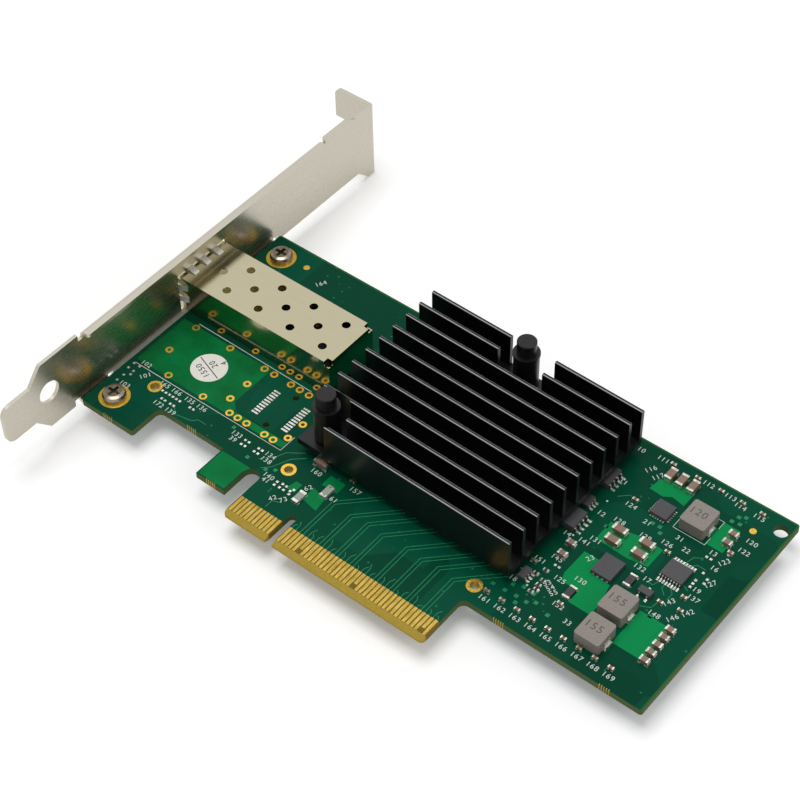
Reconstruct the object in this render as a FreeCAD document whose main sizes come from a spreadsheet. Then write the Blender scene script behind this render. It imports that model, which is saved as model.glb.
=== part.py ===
import FreeCAD, Part
import Sketcher
import math
import os
import re

# A single-port fibre network card for a PCI Express x8 slot, with its
# full-height bracket.  Millimetres.  The first edge contact is at X = 0, the
# tip of the edge connector at Y = 0 and the component face of the board at
# Z = 0; the bracket stands at the -X end.

os.makedirs("parts", exist_ok=True)
doc = FreeCAD.newDocument("NetworkCard")

SIZES = (
    # circuit board
    ("board_thick", 1.57, "thickness of the board"),
    ("board_left", -45.2, "bracket end of the board"),
    ("board_right", 92.7, "far end of the board"),
    ("board_top", 68.9, "upper edge above the connector tip"),
    ("board_low", 12.8, "lower edge above the connector tip"),
    ("board_round", 0.6, "radius of the board's outer corners"),
    ("inner_round", 1.5, "radius of the routed inner corners"),
    ("arm_low", 4.4, "lower edge of the two arms beside the connector"),
    ("arm_right", -30.3, "far side of the bracket arm"),
    ("hook_left", -12.0, "near side of the small arm"),
    ("hook_right", -4.35, "far side of the small arm"),
    ("slot_top", 12.5, "closed end of the slot beside the connector"),
    ("tongue_left", -0.65, "near side of the connector tongue"),
    ("tongue_right", 50.65, "far side of the connector tongue"),
    ("key_left", 10.55, "near side of the key notch"),
    ("key_right", 12.45, "far side of the key notch"),
    ("key_top", 8.3, "closed end of the key notch"),
    ("tip_round", 0.9, "radius of the tongue's tip corners"),
    ("bevel_long", 1.3, "length of the lead-in bevel"),
    ("bevel_deep", 0.47, "depth of the lead-in bevel"),
    # edge contacts
    ("pad_pitch", 1.0, "pitch of the edge contacts"),
    ("pad_wide", 0.7, "width of a contact"),
    ("pad_start", 1.35, "tip end of a contact"),
    ("pad_end", 5.6, "board end of a contact"),
    ("pad_thick", 0.05, "copper, nickel and gold of a contact"),
    ("pads_near", 11, "contacts before the key"),
    ("pads_far", 38, "contacts after the key"),
    ("far_start", 13.0, "first contact after the key"),
    ("short_start", 2.6, "tip end of a presence contact"),
    # holes in the board
    ("screw_x", -40.2, "bracket screws from the first contact"),
    ("screw_low", 9.4, "lower bracket screw"),
    ("screw_high", 63.4, "upper bracket screw"),
    ("screw_hole", 1.75, "radius of the board's screw holes"),
    ("tooling_r", 1.0, "radius of the plated tooling holes"),
    ("tooling_y", 16.75, "height of the tooling holes"),
    ("tooling_near", 2.5, "tooling hole near the key"),
    ("tooling_far", 50.6, "tooling hole at the far end of the tongue"),
    ("tooling_arm", -35.3, "tooling hole in the bracket arm"),
    ("corner_x", 90.4, "corner hole along the board"),
    ("corner_y", 65.3, "corner hole up the board"),
    ("corner_r", 1.6, "radius of the corner hole"),
    # cage footprint, twice on the board
    ("port_y", 45.0, "centre line of the fitted port"),
    ("port_step", 17.0, "spacing of the two port footprints"),
    ("press_r", 0.52, "radius of a cage pin hole"),
    ("spare_r", 0.45, "radius of a port's other plated holes"),
    ("peg_r", 0.78, "radius of a connector peg hole"),
    ("peg_pin_r", 0.68, "radius of a connector peg"),
    ("peg_x", -9.35, "connector pegs along the board"),
    ("peg_half", 4.8, "centre line to a connector peg"),
    # bracket
    ("plate_in", -46.4, "inner face of the bracket plate"),
    ("sheet", 0.86, "thickness of the bracket steel"),
    ("plate_wide", 18.42, "width of the bracket plate"),
    ("bracket_tip", -15.2, "lower tip of the bracket"),
    ("bracket_long", 120.02, "overall length of the bracket"),
    ("tongue_wide", 10.16, "width of the bracket's lower tongue"),
    ("tongue_from", -7.2, "where the lower tongue begins"),
    ("plate_from", -3.5, "where the full width begins"),
    ("tip_corner", 2.4, "radius of the lower tip corners"),
    ("bend_in", 0.4, "inner radius of the bends"),
    ("relief_wide", 1.5, "width of a bend relief"),
    ("relief_deep", 1.6, "depth of a bend relief"),
    ("lip_from", 8.9, "lower end of the stiffening lip"),
    ("lip_back", 19.2, "top of the bracket to the upper end of the lip"),
    ("lip_deep", 2.6, "overall depth of the lip"),
    ("lip_corner", 0.8, "radius of the lip's free corners"),
    ("jog_back", 10.0, "top of the bracket to the start of its sideways step"),
    ("jog_run", 3.4, "length of the sideways step"),
    ("jog_low", 3.18, "sideways step of the top end, lower edge"),
    ("jog_high", 1.7, "sideways step of the top end, upper edge"),
    ("flange_deep", 11.43, "depth of the top flange"),
    ("flange_round", 1.8, "radius of the flange corners"),
    ("notch_wide", 4.42, "width of the screw notch"),
    ("notch_z", 3.75, "centre of the screw notch"),
    ("notch_deep", 5.5, "screw notch, edge to its round centre"),
    ("lug_wide", 8.4, "width of a screw lug"),
    ("lug_long", 9.9, "length of a screw lug from the plate"),
    ("lug_round", 2.0, "radius of the lug corners"),
    ("finger_hole_r", 2.7, "radius of the round hole"),
    ("finger_hole_y", -2.4, "round hole up the plate"),
    ("finger_hole_rise", 0.5, "round hole above the middle of the plate"),
    # bracket screws
    ("screw_r", 1.45, "radius of the screw thread"),
    ("screw_long", 4.0, "length under the head"),
    ("head_r", 2.6, "radius of the pan head"),
    ("head_high", 1.7, "height of the pan head"),
    ("head_round", 0.9, "radius of the pan head's edge"),
    ("cross_wide", 0.75, "width of a recess arm"),
    ("cross_long", 2.9, "length across the recess"),
    ("cross_deep", 1.1, "depth of the recess"),
    ("screw_fit", 0.05, "clearance round the screw thread"),
    # cage
    ("cage_wide", 14.4, "outside width of the cage"),
    ("cage_rear", -4.05, "rear wall of the cage"),
    ("cage_out", 4.2, "how far the cage stands out of the bracket"),
    ("cage_low", 0.15, "stand-off under the cage"),
    ("cage_high", 9.7, "top of the cage above the board"),
    ("cage_sheet", 0.25, "thickness of the cage metal"),
    ("vent_r", 0.98, "radius of a vent hole"),
    ("vent_pitch", 9.03, "pitch of the vent holes along a row"),
    ("vent_row", 3.93, "spacing of the vent rows"),
    ("vent_last", -8.52, "last vent of the outer rows"),
    ("corner_cut", 1.3, "square notch at the rear corners"),
    ("floor_open", 20.0, "length of the opening in the cage floor"),
    ("cage_pin", 0.45, "width of a cage pin"),
    ("cage_pin_long", 2.4, "length of a cage pin below the cage"),
    # spring fingers
    ("spring_sheet", 0.12, "thickness of the spring strip"),
    ("spring_band", 1.2, "width of the band that holds the fingers"),
    ("spring_set", 0.4, "front of the cage to the band"),
    ("spring_room", 0.8, "cage to the edge of the bracket opening"),
    ("spring_gap", 0.03, "clearance at a finger's crest"),
    ("spring_wide", 1.5, "width of a finger"),
    ("spring_pitch", 3.9, "pitch of the upper fingers"),
    ("spring_side_pitch", 3.45, "pitch of the side fingers"),
    ("spring_side_z", 3.9, "lower side finger"),
    ("spring_tail", -44.3, "free end of the fingers"),
    ("spring_tail_low", -45.6, "free end of the lower fingers"),
    ("opening_round", 0.5, "radius of the opening's corners"),
    # module connector in the cage
    ("housing_from", -13.0, "front of the connector housing"),
    ("housing_long", 7.2, "length of the housing"),
    ("housing_wide", 11.6, "width of the housing"),
    ("housing_high", 5.4, "height of the housing"),
    ("card_slot", 1.4, "height of the slot for the module's card"),
    ("card_slot_z", 3.2, "centre of the slot"),
    ("card_slot_wide", 9.8, "width of the slot"),
    ("card_slot_deep", 5.6, "depth of the slot"),
    ("pin_pitch", 0.8, "pitch of the connector contacts"),
    ("pin_count", 10, "contacts in a row"),
    ("pin_wide", 0.4, "width of a contact foot"),
    ("pin_thick", 0.2, "thickness of a contact foot"),
    ("foot_long", 1.3, "length of a contact foot"),
    # controller and heat sink
    ("chip_x", 17.0, "centre of the controller along the board"),
    ("chip_y", 44.5, "centre of the controller up the board"),
    ("chip_wide", 25.0, "side of the controller package"),
    ("chip_gap", 0.3, "solder joints under the package"),
    ("chip_high", 1.4, "top of the package above the board"),
    ("die_x", 13.0, "length of the die"),
    ("die_y", 11.0, "width of the die"),
    ("die_high", 0.8, "thickness of the die"),
    ("paste", 0.3, "thickness of the thermal pad"),
    ("sink_x", 28.5, "centre of the heat sink along the board"),
    ("sink_y", 43.75, "centre of the heat sink up the board"),
    ("sink_skew", -0.0187, "how far the heat sink leans on its pins, as a slope"),
    ("sink_long", 54.9, "length of the heat sink"),
    ("sink_deep", 44.6, "width of the heat sink"),
    ("sink_top", 12.6, "top of the fins above the board"),
    ("sink_base", 1.5, "thickness of the base plate"),
    ("fin_count", 11, "number of fins"),
    ("fin_thick", 0.85, "thickness of a fin"),
    ("fin_edge", 0.2, "slope along a fin's upper edges"),
    ("clear_r", 5.15, "clearance cut round the front pin"),
    ("clear_half", 5.75, "half width of the cut beside the rear pin"),
    ("clear_back", 6.6, "depth of that cut from the rear fin"),
    ("sink_hole", 1.75, "radius of the pin holes in the base"),
    # push pins
    ("pin_a_x", 5.38, "front pin along the board"),
    ("pin_a_y", 26.2, "front pin up the board"),
    ("pin_b_x", 28.5, "rear pin along the board"),
    ("pin_b_y", 63.1, "rear pin up the board"),
    ("knob_r", 2.15, "radius of the pin head"),
    ("knob_top", 17.0, "top of the pin head"),
    ("knob_round", 0.2, "slope of the head's upper edge"),
    ("rim_r", 2.95, "radius of the rim"),
    ("rim_top", 13.6, "top of the rim"),
    ("rim_high", 0.7, "height of the rim"),
    ("sleeve_r", 2.8, "radius of the sleeve"),
    ("sleeve_wall", 0.5, "wall of the sleeve"),
    ("sleeve_lift", 0.3, "sleeve to the base plate"),
    ("shaft_r", 1.35, "radius of the shaft"),
    ("barb_r", 1.85, "radius of the barb"),
    ("barb_long", 2.4, "length of the barb below the board"),
    ("barb_slit", 0.6, "width of the slit in the barb"),
    ("pin_fit", 0.25, "clearance of the shaft in the board"),
    ("coil_wire", 0.45, "side of the spring wire"),
    ("coil_r", 1.95, "radius of the spring"),
    ("coil_turns", 4, "turns of the spring"),
    # power inductors
    ("inductor_long", 5.8, "length of an inductor"),
    ("inductor_wide", 6.3, "width of an inductor"),
    ("inductor_high", 3.0, "height of an inductor"),
    ("inductor_edge", 0.35, "chamfer of an inductor core"),
    ("terminal_thick", 0.15, "thickness of an inductor terminal"),
    ("terminal_wide", 2.2, "width of an inductor terminal"),
    ("terminal_high", 1.5, "height of an inductor terminal"),
    # chip capacitors, resistors and fuses, by case size
    ("large_long", 3.2, "length of a large capacitor"),
    ("large_wide", 1.6, "width of a large capacitor"),
    ("large_high", 1.5, "height of a large capacitor"),
    ("large_end", 0.55, "length of its end caps"),
    ("middle_long", 2.0, "length of a middle capacitor"),
    ("middle_wide", 1.25, "width of a middle capacitor"),
    ("middle_high", 1.2, "height of a middle capacitor"),
    ("middle_end", 0.42, "length of its end caps"),
    ("small_long", 1.25, "length of a small capacitor"),
    ("small_wide", 0.68, "width of a small capacitor"),
    ("small_high", 0.62, "height of a small capacitor"),
    ("small_end", 0.3, "length of its end caps"),
    ("resistor_long", 3.2, "length of a large resistor"),
    ("resistor_wide", 1.6, "width of a large resistor"),
    ("resistor_high", 0.6, "height of a large resistor"),
    ("resistor_end", 0.45, "length of its end caps"),
    ("tiny_long", 1.05, "length of a small resistor"),
    ("tiny_wide", 0.55, "width of a small resistor"),
    ("tiny_high", 0.38, "height of a small resistor"),
    ("tiny_end", 0.24, "length of its end caps"),
    ("fuse_long", 3.2, "length of a fuse"),
    ("fuse_wide", 1.6, "width of a fuse"),
    ("fuse_high", 0.75, "height of a fuse"),
    ("fuse_end", 0.6, "length of its end caps"),
    ("end_proud", 0.03, "how far end caps stand out from the body"),
    # leaded packages, by family
    ("lead_thick", 0.18, "thickness of a lead"),
    ("lead_foot", 0.45, "share of a lead's reach in its foot"),
    ("lead_out", 0.3, "share of a lead's reach before its bend"),
    ("lead_stand", 0.1, "board to the underside of a package"),
    ("octal_wide", 3.9, "width of an eight-lead package"),
    ("octal_long", 4.9, "length of an eight-lead package"),
    ("octal_high", 1.55, "height of an eight-lead package"),
    ("octal_span", 6.0, "width over its leads"),
    ("octal_pitch", 1.27, "pitch of its leads"),
    ("octal_lead", 0.42, "width of a lead"),
    ("driver_wide", 4.4, "width of the sixteen-lead package"),
    ("driver_long", 5.0, "length of the sixteen-lead package"),
    ("driver_high", 1.0, "height of the sixteen-lead package"),
    ("driver_span", 6.4, "width over its leads"),
    ("driver_pitch", 0.65, "pitch of its leads"),
    ("driver_lead", 0.26, "width of a lead"),
    ("logic_wide", 1.6, "width of a small logic package"),
    ("logic_long", 2.9, "length of a small logic package"),
    ("logic_high", 1.1, "height of a small logic package"),
    ("logic_span", 2.8, "width over its leads"),
    ("logic_pitch", 0.95, "pitch of its leads"),
    ("logic_lead", 0.38, "width of a lead"),
    # flat packages
    ("regulator_wide", 4.0, "side of the flat regulator"),
    ("regulator_high", 0.9, "height of the flat regulator"),
    ("stage_long", 5.4, "length of the power stage"),
    ("stage_wide", 4.6, "width of the power stage"),
    ("stage_high", 1.0, "height of the power stage"),
    ("stage_pitch", 1.1, "pitch of the power stage's terminals"),
    ("stage_pad", 0.5, "width of a power stage terminal"),
    ("stage_out", 0.25, "how far a terminal stands out"),
    ("stage_metal", 0.25, "thickness of a terminal"),
    # rows of like parts
    ("column_x", 86.85, "column of middle capacitors along the board"),
    ("column_y", 22.2, "lowest of the column"),
    ("column_pitch", 2.2, "pitch of the column"),
    ("column_count", 5, "capacitors in the column"),
    ("lower_x", 53.4, "first small capacitor of the lower row"),
    ("lower_y", 17.05, "lower row up the board"),
    ("lower_pitch", 3.67, "pitch of the lower row"),
    ("lower_count", 9, "capacitors in the lower row"),
    ("upper_y", 66.5, "small capacitors along the upper edge"),
    ("bank_x", 65.3, "first capacitor of the upper bank"),
    ("bank_y", 63.4, "upper bank up the board"),
    ("bank_pitch", 2.68, "pitch of the upper bank"),
    ("bank_count", 3, "capacitors in the upper bank"),
    # label
    ("label_x", -29.85, "round label along the board"),
    ("label_y", 27.9, "round label up the board"),
    ("label_r", 4.1, "radius of the round label"),
    ("label_thick", 0.1, "thickness of the round label"),
)

# Where each other component sits on the board, by its centre.
LAYOUT = (
    ("coil_a", 76.5, 56.6),
    ("coil_b", 76.0, 29.0),
    ("coil_c", 76.2, 21.0),
    ("large_a", 65.4, 45.1),
    ("large_b", 65.7, 42.1),
    ("large_c", 71.6, 45.5),
    ("large_d", 71.8, 42.4),
    ("large_e", 7.2, 21.8),
    ("middle_a", 83.65, 58.25),
    ("middle_b", 83.8, 55.7),
    ("middle_c", 59.6, 36.6),
    ("middle_d", 59.8, 33.3),
    ("resistor_a", 73.85, 36.4),
    ("resistor_b", 66.3, 26.7),
    ("fuse_a", 9.2, 12.3),
    ("fuse_b", 12.8, 16.85),
    ("small_a", 63.95, 66.5),
    ("small_b", 69.9, 66.5),
    ("small_c", 75.5, 66.5),
    ("small_d", 80.6, 66.5),
    ("small_e", 85.3, 66.5),
    ("small_f", 63.1, 53.9),
    ("small_g", 85.55, 54.2),
    ("small_h", 75.7, 46.7),
    ("small_i", 84.4, 39.4),
    ("small_j", 85.6, 36.3),
    ("small_k", 81.4, 35.6),
    ("small_l", 56.2, 28.8),
    ("small_m", 66.4, 23.4),
    ("small_n", 14.9, 22.6),
    ("tiny_a", 60.1, 22.4),
    ("tiny_b", 60.7, 23.4),
    ("tiny_c", 60.4, 24.6),
    ("tiny_d", 60.5, 26.0),
    ("tiny_e", 58.3, 26.6),
    ("tiny_f", 59.4, 28.4),
    ("octal_a", 55.05, 55.3),
    ("octal_b", 56.05, 41.9),
    ("logic_a", 56.0, 47.5),
    ("logic_b", 56.75, 24.9),
    ("logic_c", 77.9, 35.7),
    ("driver", 80.0, 43.4),
    ("regulator", 69.1, 54.9),
    ("stage", 68.8, 36.1),
)

sizes = doc.addObject("Spreadsheet::Sheet", "Sizes")
for row, (alias, value, note) in enumerate(SIZES, start=1):
    sizes.set(f"A{row}", note)
    sizes.set(f"B{row}", str(value))
    sizes.setAlias(f"B{row}", alias)
for row, (part, x, y) in enumerate(LAYOUT, start=1):
    sizes.set(f"D{row}", part)
    sizes.set(f"E{row}", str(x))
    sizes.setAlias(f"E{row}", part + "_x")
    sizes.set(f"F{row}", str(y))
    sizes.setAlias(f"F{row}", part + "_y")
doc.recompute()

TOLERANCE = 0.001
PIN_HOLE_SIDES = 8
VENT_SIDES = 16
COIL_SIDES = 10
nodes = []


# --- formulas in the sheet's names ------------------------------------------

def cell(formula):
    """Write a formula in the sheet's names the way FreeCAD reads it."""
    return re.sub(r"[a-z][a-z_]*", lambda word: "Sizes." + word.group(0), formula)


def size(formula):
    return float(sizes.evalExpression(cell(formula)))


def drive(item, prop, formula):
    item.setExpression(prop, cell(formula))


def node(item, label):
    """Name an object that is one finished piece, or one set of like pieces."""
    item.Label = label
    nodes.append(item)
    return item


# --- sketches and features ---------------------------------------------------

def new_body(name):
    return node(doc.addObject("PartDesign::Body", name), name)


def origin_of(body, role):
    return next(f for f in body.Origin.OriginFeatures if f.Role == role)


def new_sketch(body, name, plane, offset="0"):
    sketch = body.newObject("Sketcher::SketchObject", name)
    sketch.AttachmentSupport = [(origin_of(body, plane), "")]
    sketch.MapMode = "FlatFace"
    drive(sketch, "AttachmentOffset.Base.z", offset)
    return sketch


def constrain(sketch, rules):
    """Add constraints at once; a rule with a formula is driven by the sheet."""
    rows = sketch.addConstraint([rule for rule, formula in rules])
    for row, (rule, formula) in zip(rows, rules):
        if formula is not None:
            drive(sketch, f"Constraints[{row}]", formula)


def hold(edge, end, x, y):
    """Rules that hold a point of a sketch at a place worked out from the sheet."""
    return [(Sketcher.Constraint("DistanceX", -1, 1, edge, end, size(x)), x),
            (Sketcher.Constraint("DistanceY", -1, 1, edge, end, size(y)), y)]


def add_loop(sketch, corners):
    """A closed outline with straight sides through the given corners."""
    spots = [FreeCAD.Vector(size(x), size(y), 0) for x, y in corners]
    first = sketch.GeometryCount
    sides = [Part.LineSegment(here, there) for here, there in zip(spots, spots[1:] + spots[:1])]
    sketch.addGeometry(sides, False)
    rules = []
    for step, (x, y) in enumerate(corners):
        following = first + (step + 1) % len(corners)
        rules.append((Sketcher.Constraint("Coincident", first + step, 2, following, 1), None))
        rules += hold(first + step, 1, x, y)
    constrain(sketch, rules)


def add_box(sketch, left, low, right, high):
    add_loop(sketch, ((left, low), (right, low), (right, high), (left, high)))


def add_circle(sketch, x, y, radius):
    middle = FreeCAD.Vector(size(x), size(y), 0)
    ring = Part.Circle(middle, FreeCAD.Vector(0, 0, 1), size(radius))
    edge = sketch.addGeometry(ring, False)
    reach = Sketcher.Constraint("Radius", edge, size(radius))
    constrain(sketch, hold(edge, 3, x, y) + [(reach, radius)])


def add_facets(sketch, x, y, radius, sides):
    """A small round hole with as many flats as its size needs."""
    turns = [2 * math.pi * (step + 0.5) / sides for step in range(sides)]
    add_loop(sketch, tuple(
        (f"{x} + {radius} * ({math.cos(turn):.5f})", f"{y} + {radius} * ({math.sin(turn):.5f})")
        for turn in turns))


def pad(body, name, sketch, length, back=False):
    block = body.newObject("PartDesign::Pad", name)
    block.Profile = sketch
    block.Reversed = back
    drive(block, "Length", length)
    return block


def cut(body, name, sketch, length, back=False):
    pocket = body.newObject("PartDesign::Pocket", name)
    pocket.Profile = sketch
    pocket.Reversed = back
    drive(pocket, "Length", length)
    return pocket


def cut_through(body, name, sketch):
    pocket = body.newObject("PartDesign::Pocket", name)
    pocket.Profile = sketch
    pocket.Type = "ThroughAll"
    pocket.Midplane = True
    return pocket


def repeat(body, name, features, axis, length, count):
    row = body.newObject("PartDesign::LinearPattern", name)
    row.Originals = features
    row.Direction = (origin_of(body, axis), [""])
    drive(row, "Length", length)
    drive(row, "Occurrences", count)
    body.Tip = row
    return row


def spin(body, name, sketch):
    """A full turn of a profile about the body's Z axis."""
    turned = body.newObject("PartDesign::Revolution", name)
    turned.Profile = sketch
    turned.ReferenceAxis = (origin_of(body, "Z_Axis"), [""])
    turned.Angle = 360
    return turned


def along(axis, spots, low=None, high=None):
    """Test for straight edges along an axis at the given places across it."""
    index = "XYZ".index(axis)
    across = [i for i in range(3) if i != index]
    places = [[size(value) for value in spot] for spot in spots]
    floor = -1e6 if low is None else size(low) - TOLERANCE
    ceiling = 1e6 if high is None else size(high) + TOLERANCE

    def test(edge):
        ends = [vertex.Point for vertex in edge.Vertexes]
        if len(ends) != 2:
            return False
        straight = all(abs(ends[0][i] - ends[1][i]) < TOLERANCE for i in across)
        inside = all(floor <= end[index] <= ceiling for end in ends)
        return straight and inside and any(
            all(abs(ends[0][i] - value) < TOLERANCE for i, value in zip(across, place))
            for place in places)
    return test


def matching(feature, test):
    names = [f"Edge{i}" for i, edge in enumerate(feature.Shape.Edges, 1) if test(edge)]
    if not names:
        raise ValueError(f"{feature.Name} has no edge to work on")
    return names


def fillet(body, name, test, radius):
    doc.recompute()
    base = body.Tip
    rounded = body.newObject("PartDesign::Fillet", name)
    rounded.Base = (base, matching(base, test))
    drive(rounded, "Radius", radius)
    return rounded


def chamfer(body, name, test, first, second):
    doc.recompute()
    base = body.Tip
    slope = body.newObject("PartDesign::Chamfer", name)
    slope.Base = (base, matching(base, test))
    slope.ChamferType = "Two distances"
    drive(slope, "Size", first)
    drive(slope, "Size2", second)
    return slope


def block(name, x, y, z, long, wide, high):
    """A plain block by its low corner and its three sides."""
    box = doc.addObject("Part::Box", name)
    drive(box, "Length", long)
    drive(box, "Width", wide)
    drive(box, "Height", high)
    drive(box, "Placement.Base.x", x)
    drive(box, "Placement.Base.y", y)
    drive(box, "Placement.Base.z", z)
    return box


def gather(label, members):
    """One node that holds several like solids."""
    together = doc.addObject("Part::Compound", label)
    together.Links = members
    return node(together, label)


def place(item, x, y, z="0", turn=0):
    """Stand an object at a spot of the board, turned about the vertical."""
    upright = FreeCAD.Rotation(FreeCAD.Vector(0, 0, 1), turn)
    item.Placement = FreeCAD.Placement(FreeCAD.Vector(), upright)
    drive(item, "Placement.Base.x", x)
    drive(item, "Placement.Base.y", y)
    drive(item, "Placement.Base.z", z)


# --- circuit board -----------------------------------------------------------

slot_half = "(tongue_left - hook_right) / 2"
key_half = "(key_right - key_left) / 2"
slot_end = f"slot_top - {slot_half}"
key_end = f"key_top - {key_half}"

board = new_body("circuit_board")
outline = new_sketch(board, "BoardOutline", "XY_Plane")
add_loop(outline, (
    ("board_left", "arm_low"),
    ("arm_right", "arm_low"),
    ("arm_right", "board_low"),
    ("hook_left", "board_low"),
    ("hook_left", "arm_low"),
    ("hook_right", "arm_low"),
    ("hook_right", slot_end),
    ("tongue_left", slot_end),
    ("tongue_left", "0"),
    ("key_left", "0"),
    ("key_left", key_end),
    ("key_right", key_end),
    ("key_right", "0"),
    ("tongue_right", "0"),
    ("tongue_right", "board_low"),
    ("board_right", "board_low"),
    ("board_right", "board_top"),
    ("board_left", "board_top"),
))
pad(board, "BoardSheet", outline, "board_thick", back=True)

fillet(board, "OuterCorners", along("Z", (
    ("board_left", "arm_low"), ("board_left", "board_top"), ("board_right", "board_low"),
    ("board_right", "board_top"), ("arm_right", "arm_low"),
)), "board_round")
fillet(board, "RoutedCorners", along("Z", (
    ("arm_right", "board_low"), ("tongue_right", "board_low"),
)), "inner_round")
fillet(board, "TipCorners", along("Z", (
    ("tongue_left", "0"), ("tongue_right", "0"),
)), "tip_round")

ends = new_sketch(board, "RoundEnds", "XY_Plane")
add_circle(ends, "(hook_right + tongue_left) / 2", slot_end, slot_half)
add_circle(ends, "(key_left + key_right) / 2", key_end, key_half)
cut_through(board, "SlotEnds", ends)

FIXING_HOLES = (
    ("screw_x", "screw_low", "screw_hole"),
    ("screw_x", "screw_high", "screw_hole"),
    ("tooling_near", "tooling_y", "tooling_r"),
    ("tooling_far", "tooling_y", "tooling_r"),
    ("tooling_arm", "tooling_y", "tooling_r * 1.1"),
    ("corner_x", "corner_y", "corner_r"),
    ("pin_a_x", "pin_a_y", "shaft_r + pin_fit"),
    ("pin_b_x", "pin_b_y", "shaft_r + pin_fit"),
)
holes = new_sketch(board, "FixingHoles", "XY_Plane")
for x, y, radius in FIXING_HOLES:
    add_circle(holes, x, y, radius)
cut_through(board, "FixingDrillings", holes)

# Pins of a cage: the distance of each from the rear wall, in the two rows, and
# the other plated holes of a port, by that distance and by the centre line.
NEAR_ROW = (31.25, 21.2, 13.6, 11.3, 8.8, 3.8, 1.4)
FAR_ROW = (36.25, 26.15, 16.2, 13.45, 8.7, 6.2, 3.65)
SPARE_HOLES = ((36.3, -1.43), (16.2, 1.44), (16.25, -3.9), (-0.75, -4.8), (-0.75, -0.05))
pin_row = "(cage_wide - cage_sheet) / 2"
for step, port in enumerate(("port_y", "port_y - port_step")):
    for side, row in (("-", NEAR_ROW), ("+", FAR_ROW)):
        where = "near" if side == "-" else "far"
        pin_holes = new_sketch(board, f"CageHoles_{where}_{step}", "XY_Plane")
        for back in row:
            add_facets(pin_holes, f"cage_rear - {back}", f"{port} {side} {pin_row}",
                       "press_r", PIN_HOLE_SIDES)
        add_facets(pin_holes, "peg_x", f"{port} {side} peg_half", "peg_r", PIN_HOLE_SIDES)
        for back, across in SPARE_HOLES:
            if (across > 0) == (side == "+"):
                add_facets(pin_holes, f"cage_rear - ({back})", f"{port} + ({across})",
                           "spare_r", PIN_HOLE_SIDES)
        cut_through(board, f"CageDrillings_{where}_{step}", pin_holes)


def tip_bevel(name, level, sign):
    """Slope one face of the connector down to its tip."""
    wedge = new_sketch(board, name + "Profile", "YZ_Plane", "tongue_left - bevel_long")
    add_loop(wedge, (
        ("-bevel_long", f"{level} {sign} bevel_deep * 2"),
        ("-bevel_long", f"{level} {'-' if sign == '+' else '+'} bevel_deep * 2"),
        ("bevel_long", level),
    ))
    pocket = cut(board, name, wedge, "tongue_right - tongue_left + bevel_long * 2", back=True)
    return pocket


tip_bevel("UpperBevel", "0", "+")
tip_bevel("LowerBevel", "-board_thick", "-")


# --- edge contacts -----------------------------------------------------------

def contact_face(name, level, missing):
    """The gold contacts on one face, with the presence contacts cut short."""
    body = new_body(name)
    groups = (("0", "pads_near"), ("far_start", "pads_far"))
    for step, (start, count) in enumerate(groups):
        shape = new_sketch(body, f"{name}_shape_{step}", "XY_Plane", level)
        add_box(shape, f"{start} - pad_wide / 2", "pad_start",
                f"{start} + pad_wide / 2", "pad_end")
        one = pad(body, f"{name}_pad_{step}", shape, "pad_thick")
        repeat(body, f"{name}_row_{step}", [one], "X_Axis",
               f"({count} - 1) * pad_pitch", count)
    ends = new_sketch(body, name + "_short", "XY_Plane", level)
    for position in missing:
        add_box(ends, f"{position} - pad_wide", "0", f"{position} + pad_wide", "short_start")
    cut(body, name + "_presence", ends, "pad_thick", back=True)
    return body


contact_face("edge_contacts_top", "0",
             ("far_start + pad_pitch * 5", "far_start + pad_pitch * 19",
              "far_start + pad_pitch * 36"))
contact_face("edge_contacts_bottom", "-board_thick - pad_thick", ("0",))


# --- bracket -----------------------------------------------------------------

low_side = "-board_thick - sheet"
high_side = "plate_wide - board_thick - sheet"
plate_mid = "plate_wide / 2 - board_thick - sheet"
plate_out = "plate_in - sheet"
bracket_end = "bracket_tip + bracket_long"
lip_to = f"{bracket_end} - lip_back"
jog_from = f"{bracket_end} - jog_back"

bracket = new_body("bracket")
plate = new_sketch(bracket, "PlateOutline", "YZ_Plane", plate_out)
corners = [
    ("bracket_tip", f"{plate_mid} + tongue_wide / 2"),
    ("bracket_tip", f"{plate_mid} - tongue_wide / 2"),
    ("tongue_from", f"{plate_mid} - tongue_wide / 2"),
    ("plate_from", low_side),
]
for screw in ("screw_low", "screw_high"):
    for start in (f"{screw} - lug_wide / 2 - relief_wide", f"{screw} + lug_wide / 2"):
        corners += [
            (start, low_side),
            (start, f"{low_side} + relief_deep"),
            (f"{start} + relief_wide", f"{low_side} + relief_deep"),
            (f"{start} + relief_wide", low_side),
        ]
corners += [
    (f"{jog_from} + jog_run", low_side),
    (f"{jog_from} + jog_run * 2", f"{low_side} - jog_low"),
    (bracket_end, f"{low_side} - jog_low"),
    (bracket_end, f"{high_side} - jog_high"),
    (f"{jog_from} + jog_run", f"{high_side} - jog_high"),
    (jog_from, high_side),
]
for start in (lip_to, "lip_from - relief_wide"):
    corners += [
        (f"{start} + relief_wide", high_side),
        (f"{start} + relief_wide", f"{high_side} - relief_deep"),
        (start, f"{high_side} - relief_deep"),
        (start, high_side),
    ]
corners += [
    ("plate_from", high_side),
    ("tongue_from", f"{plate_mid} + tongue_wide / 2"),
]
add_loop(plate, corners)
pad(bracket, "Plate", plate, "sheet")

lip = new_sketch(bracket, "LipOutline", "XY_Plane", high_side)
add_box(lip, plate_out, "lip_from", f"{plate_out} + lip_deep", lip_to)
pad(bracket, "Lip", lip, "sheet", back=True)

lugs = new_sketch(bracket, "LugOutlines", "XY_Plane", "-board_thick")
for screw in ("screw_low", "screw_high"):
    add_box(lugs, plate_out, f"{screw} - lug_wide / 2",
            "plate_in + lug_long", f"{screw} + lug_wide / 2")
pad(bracket, "Lugs", lugs, "sheet", back=True)

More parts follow.
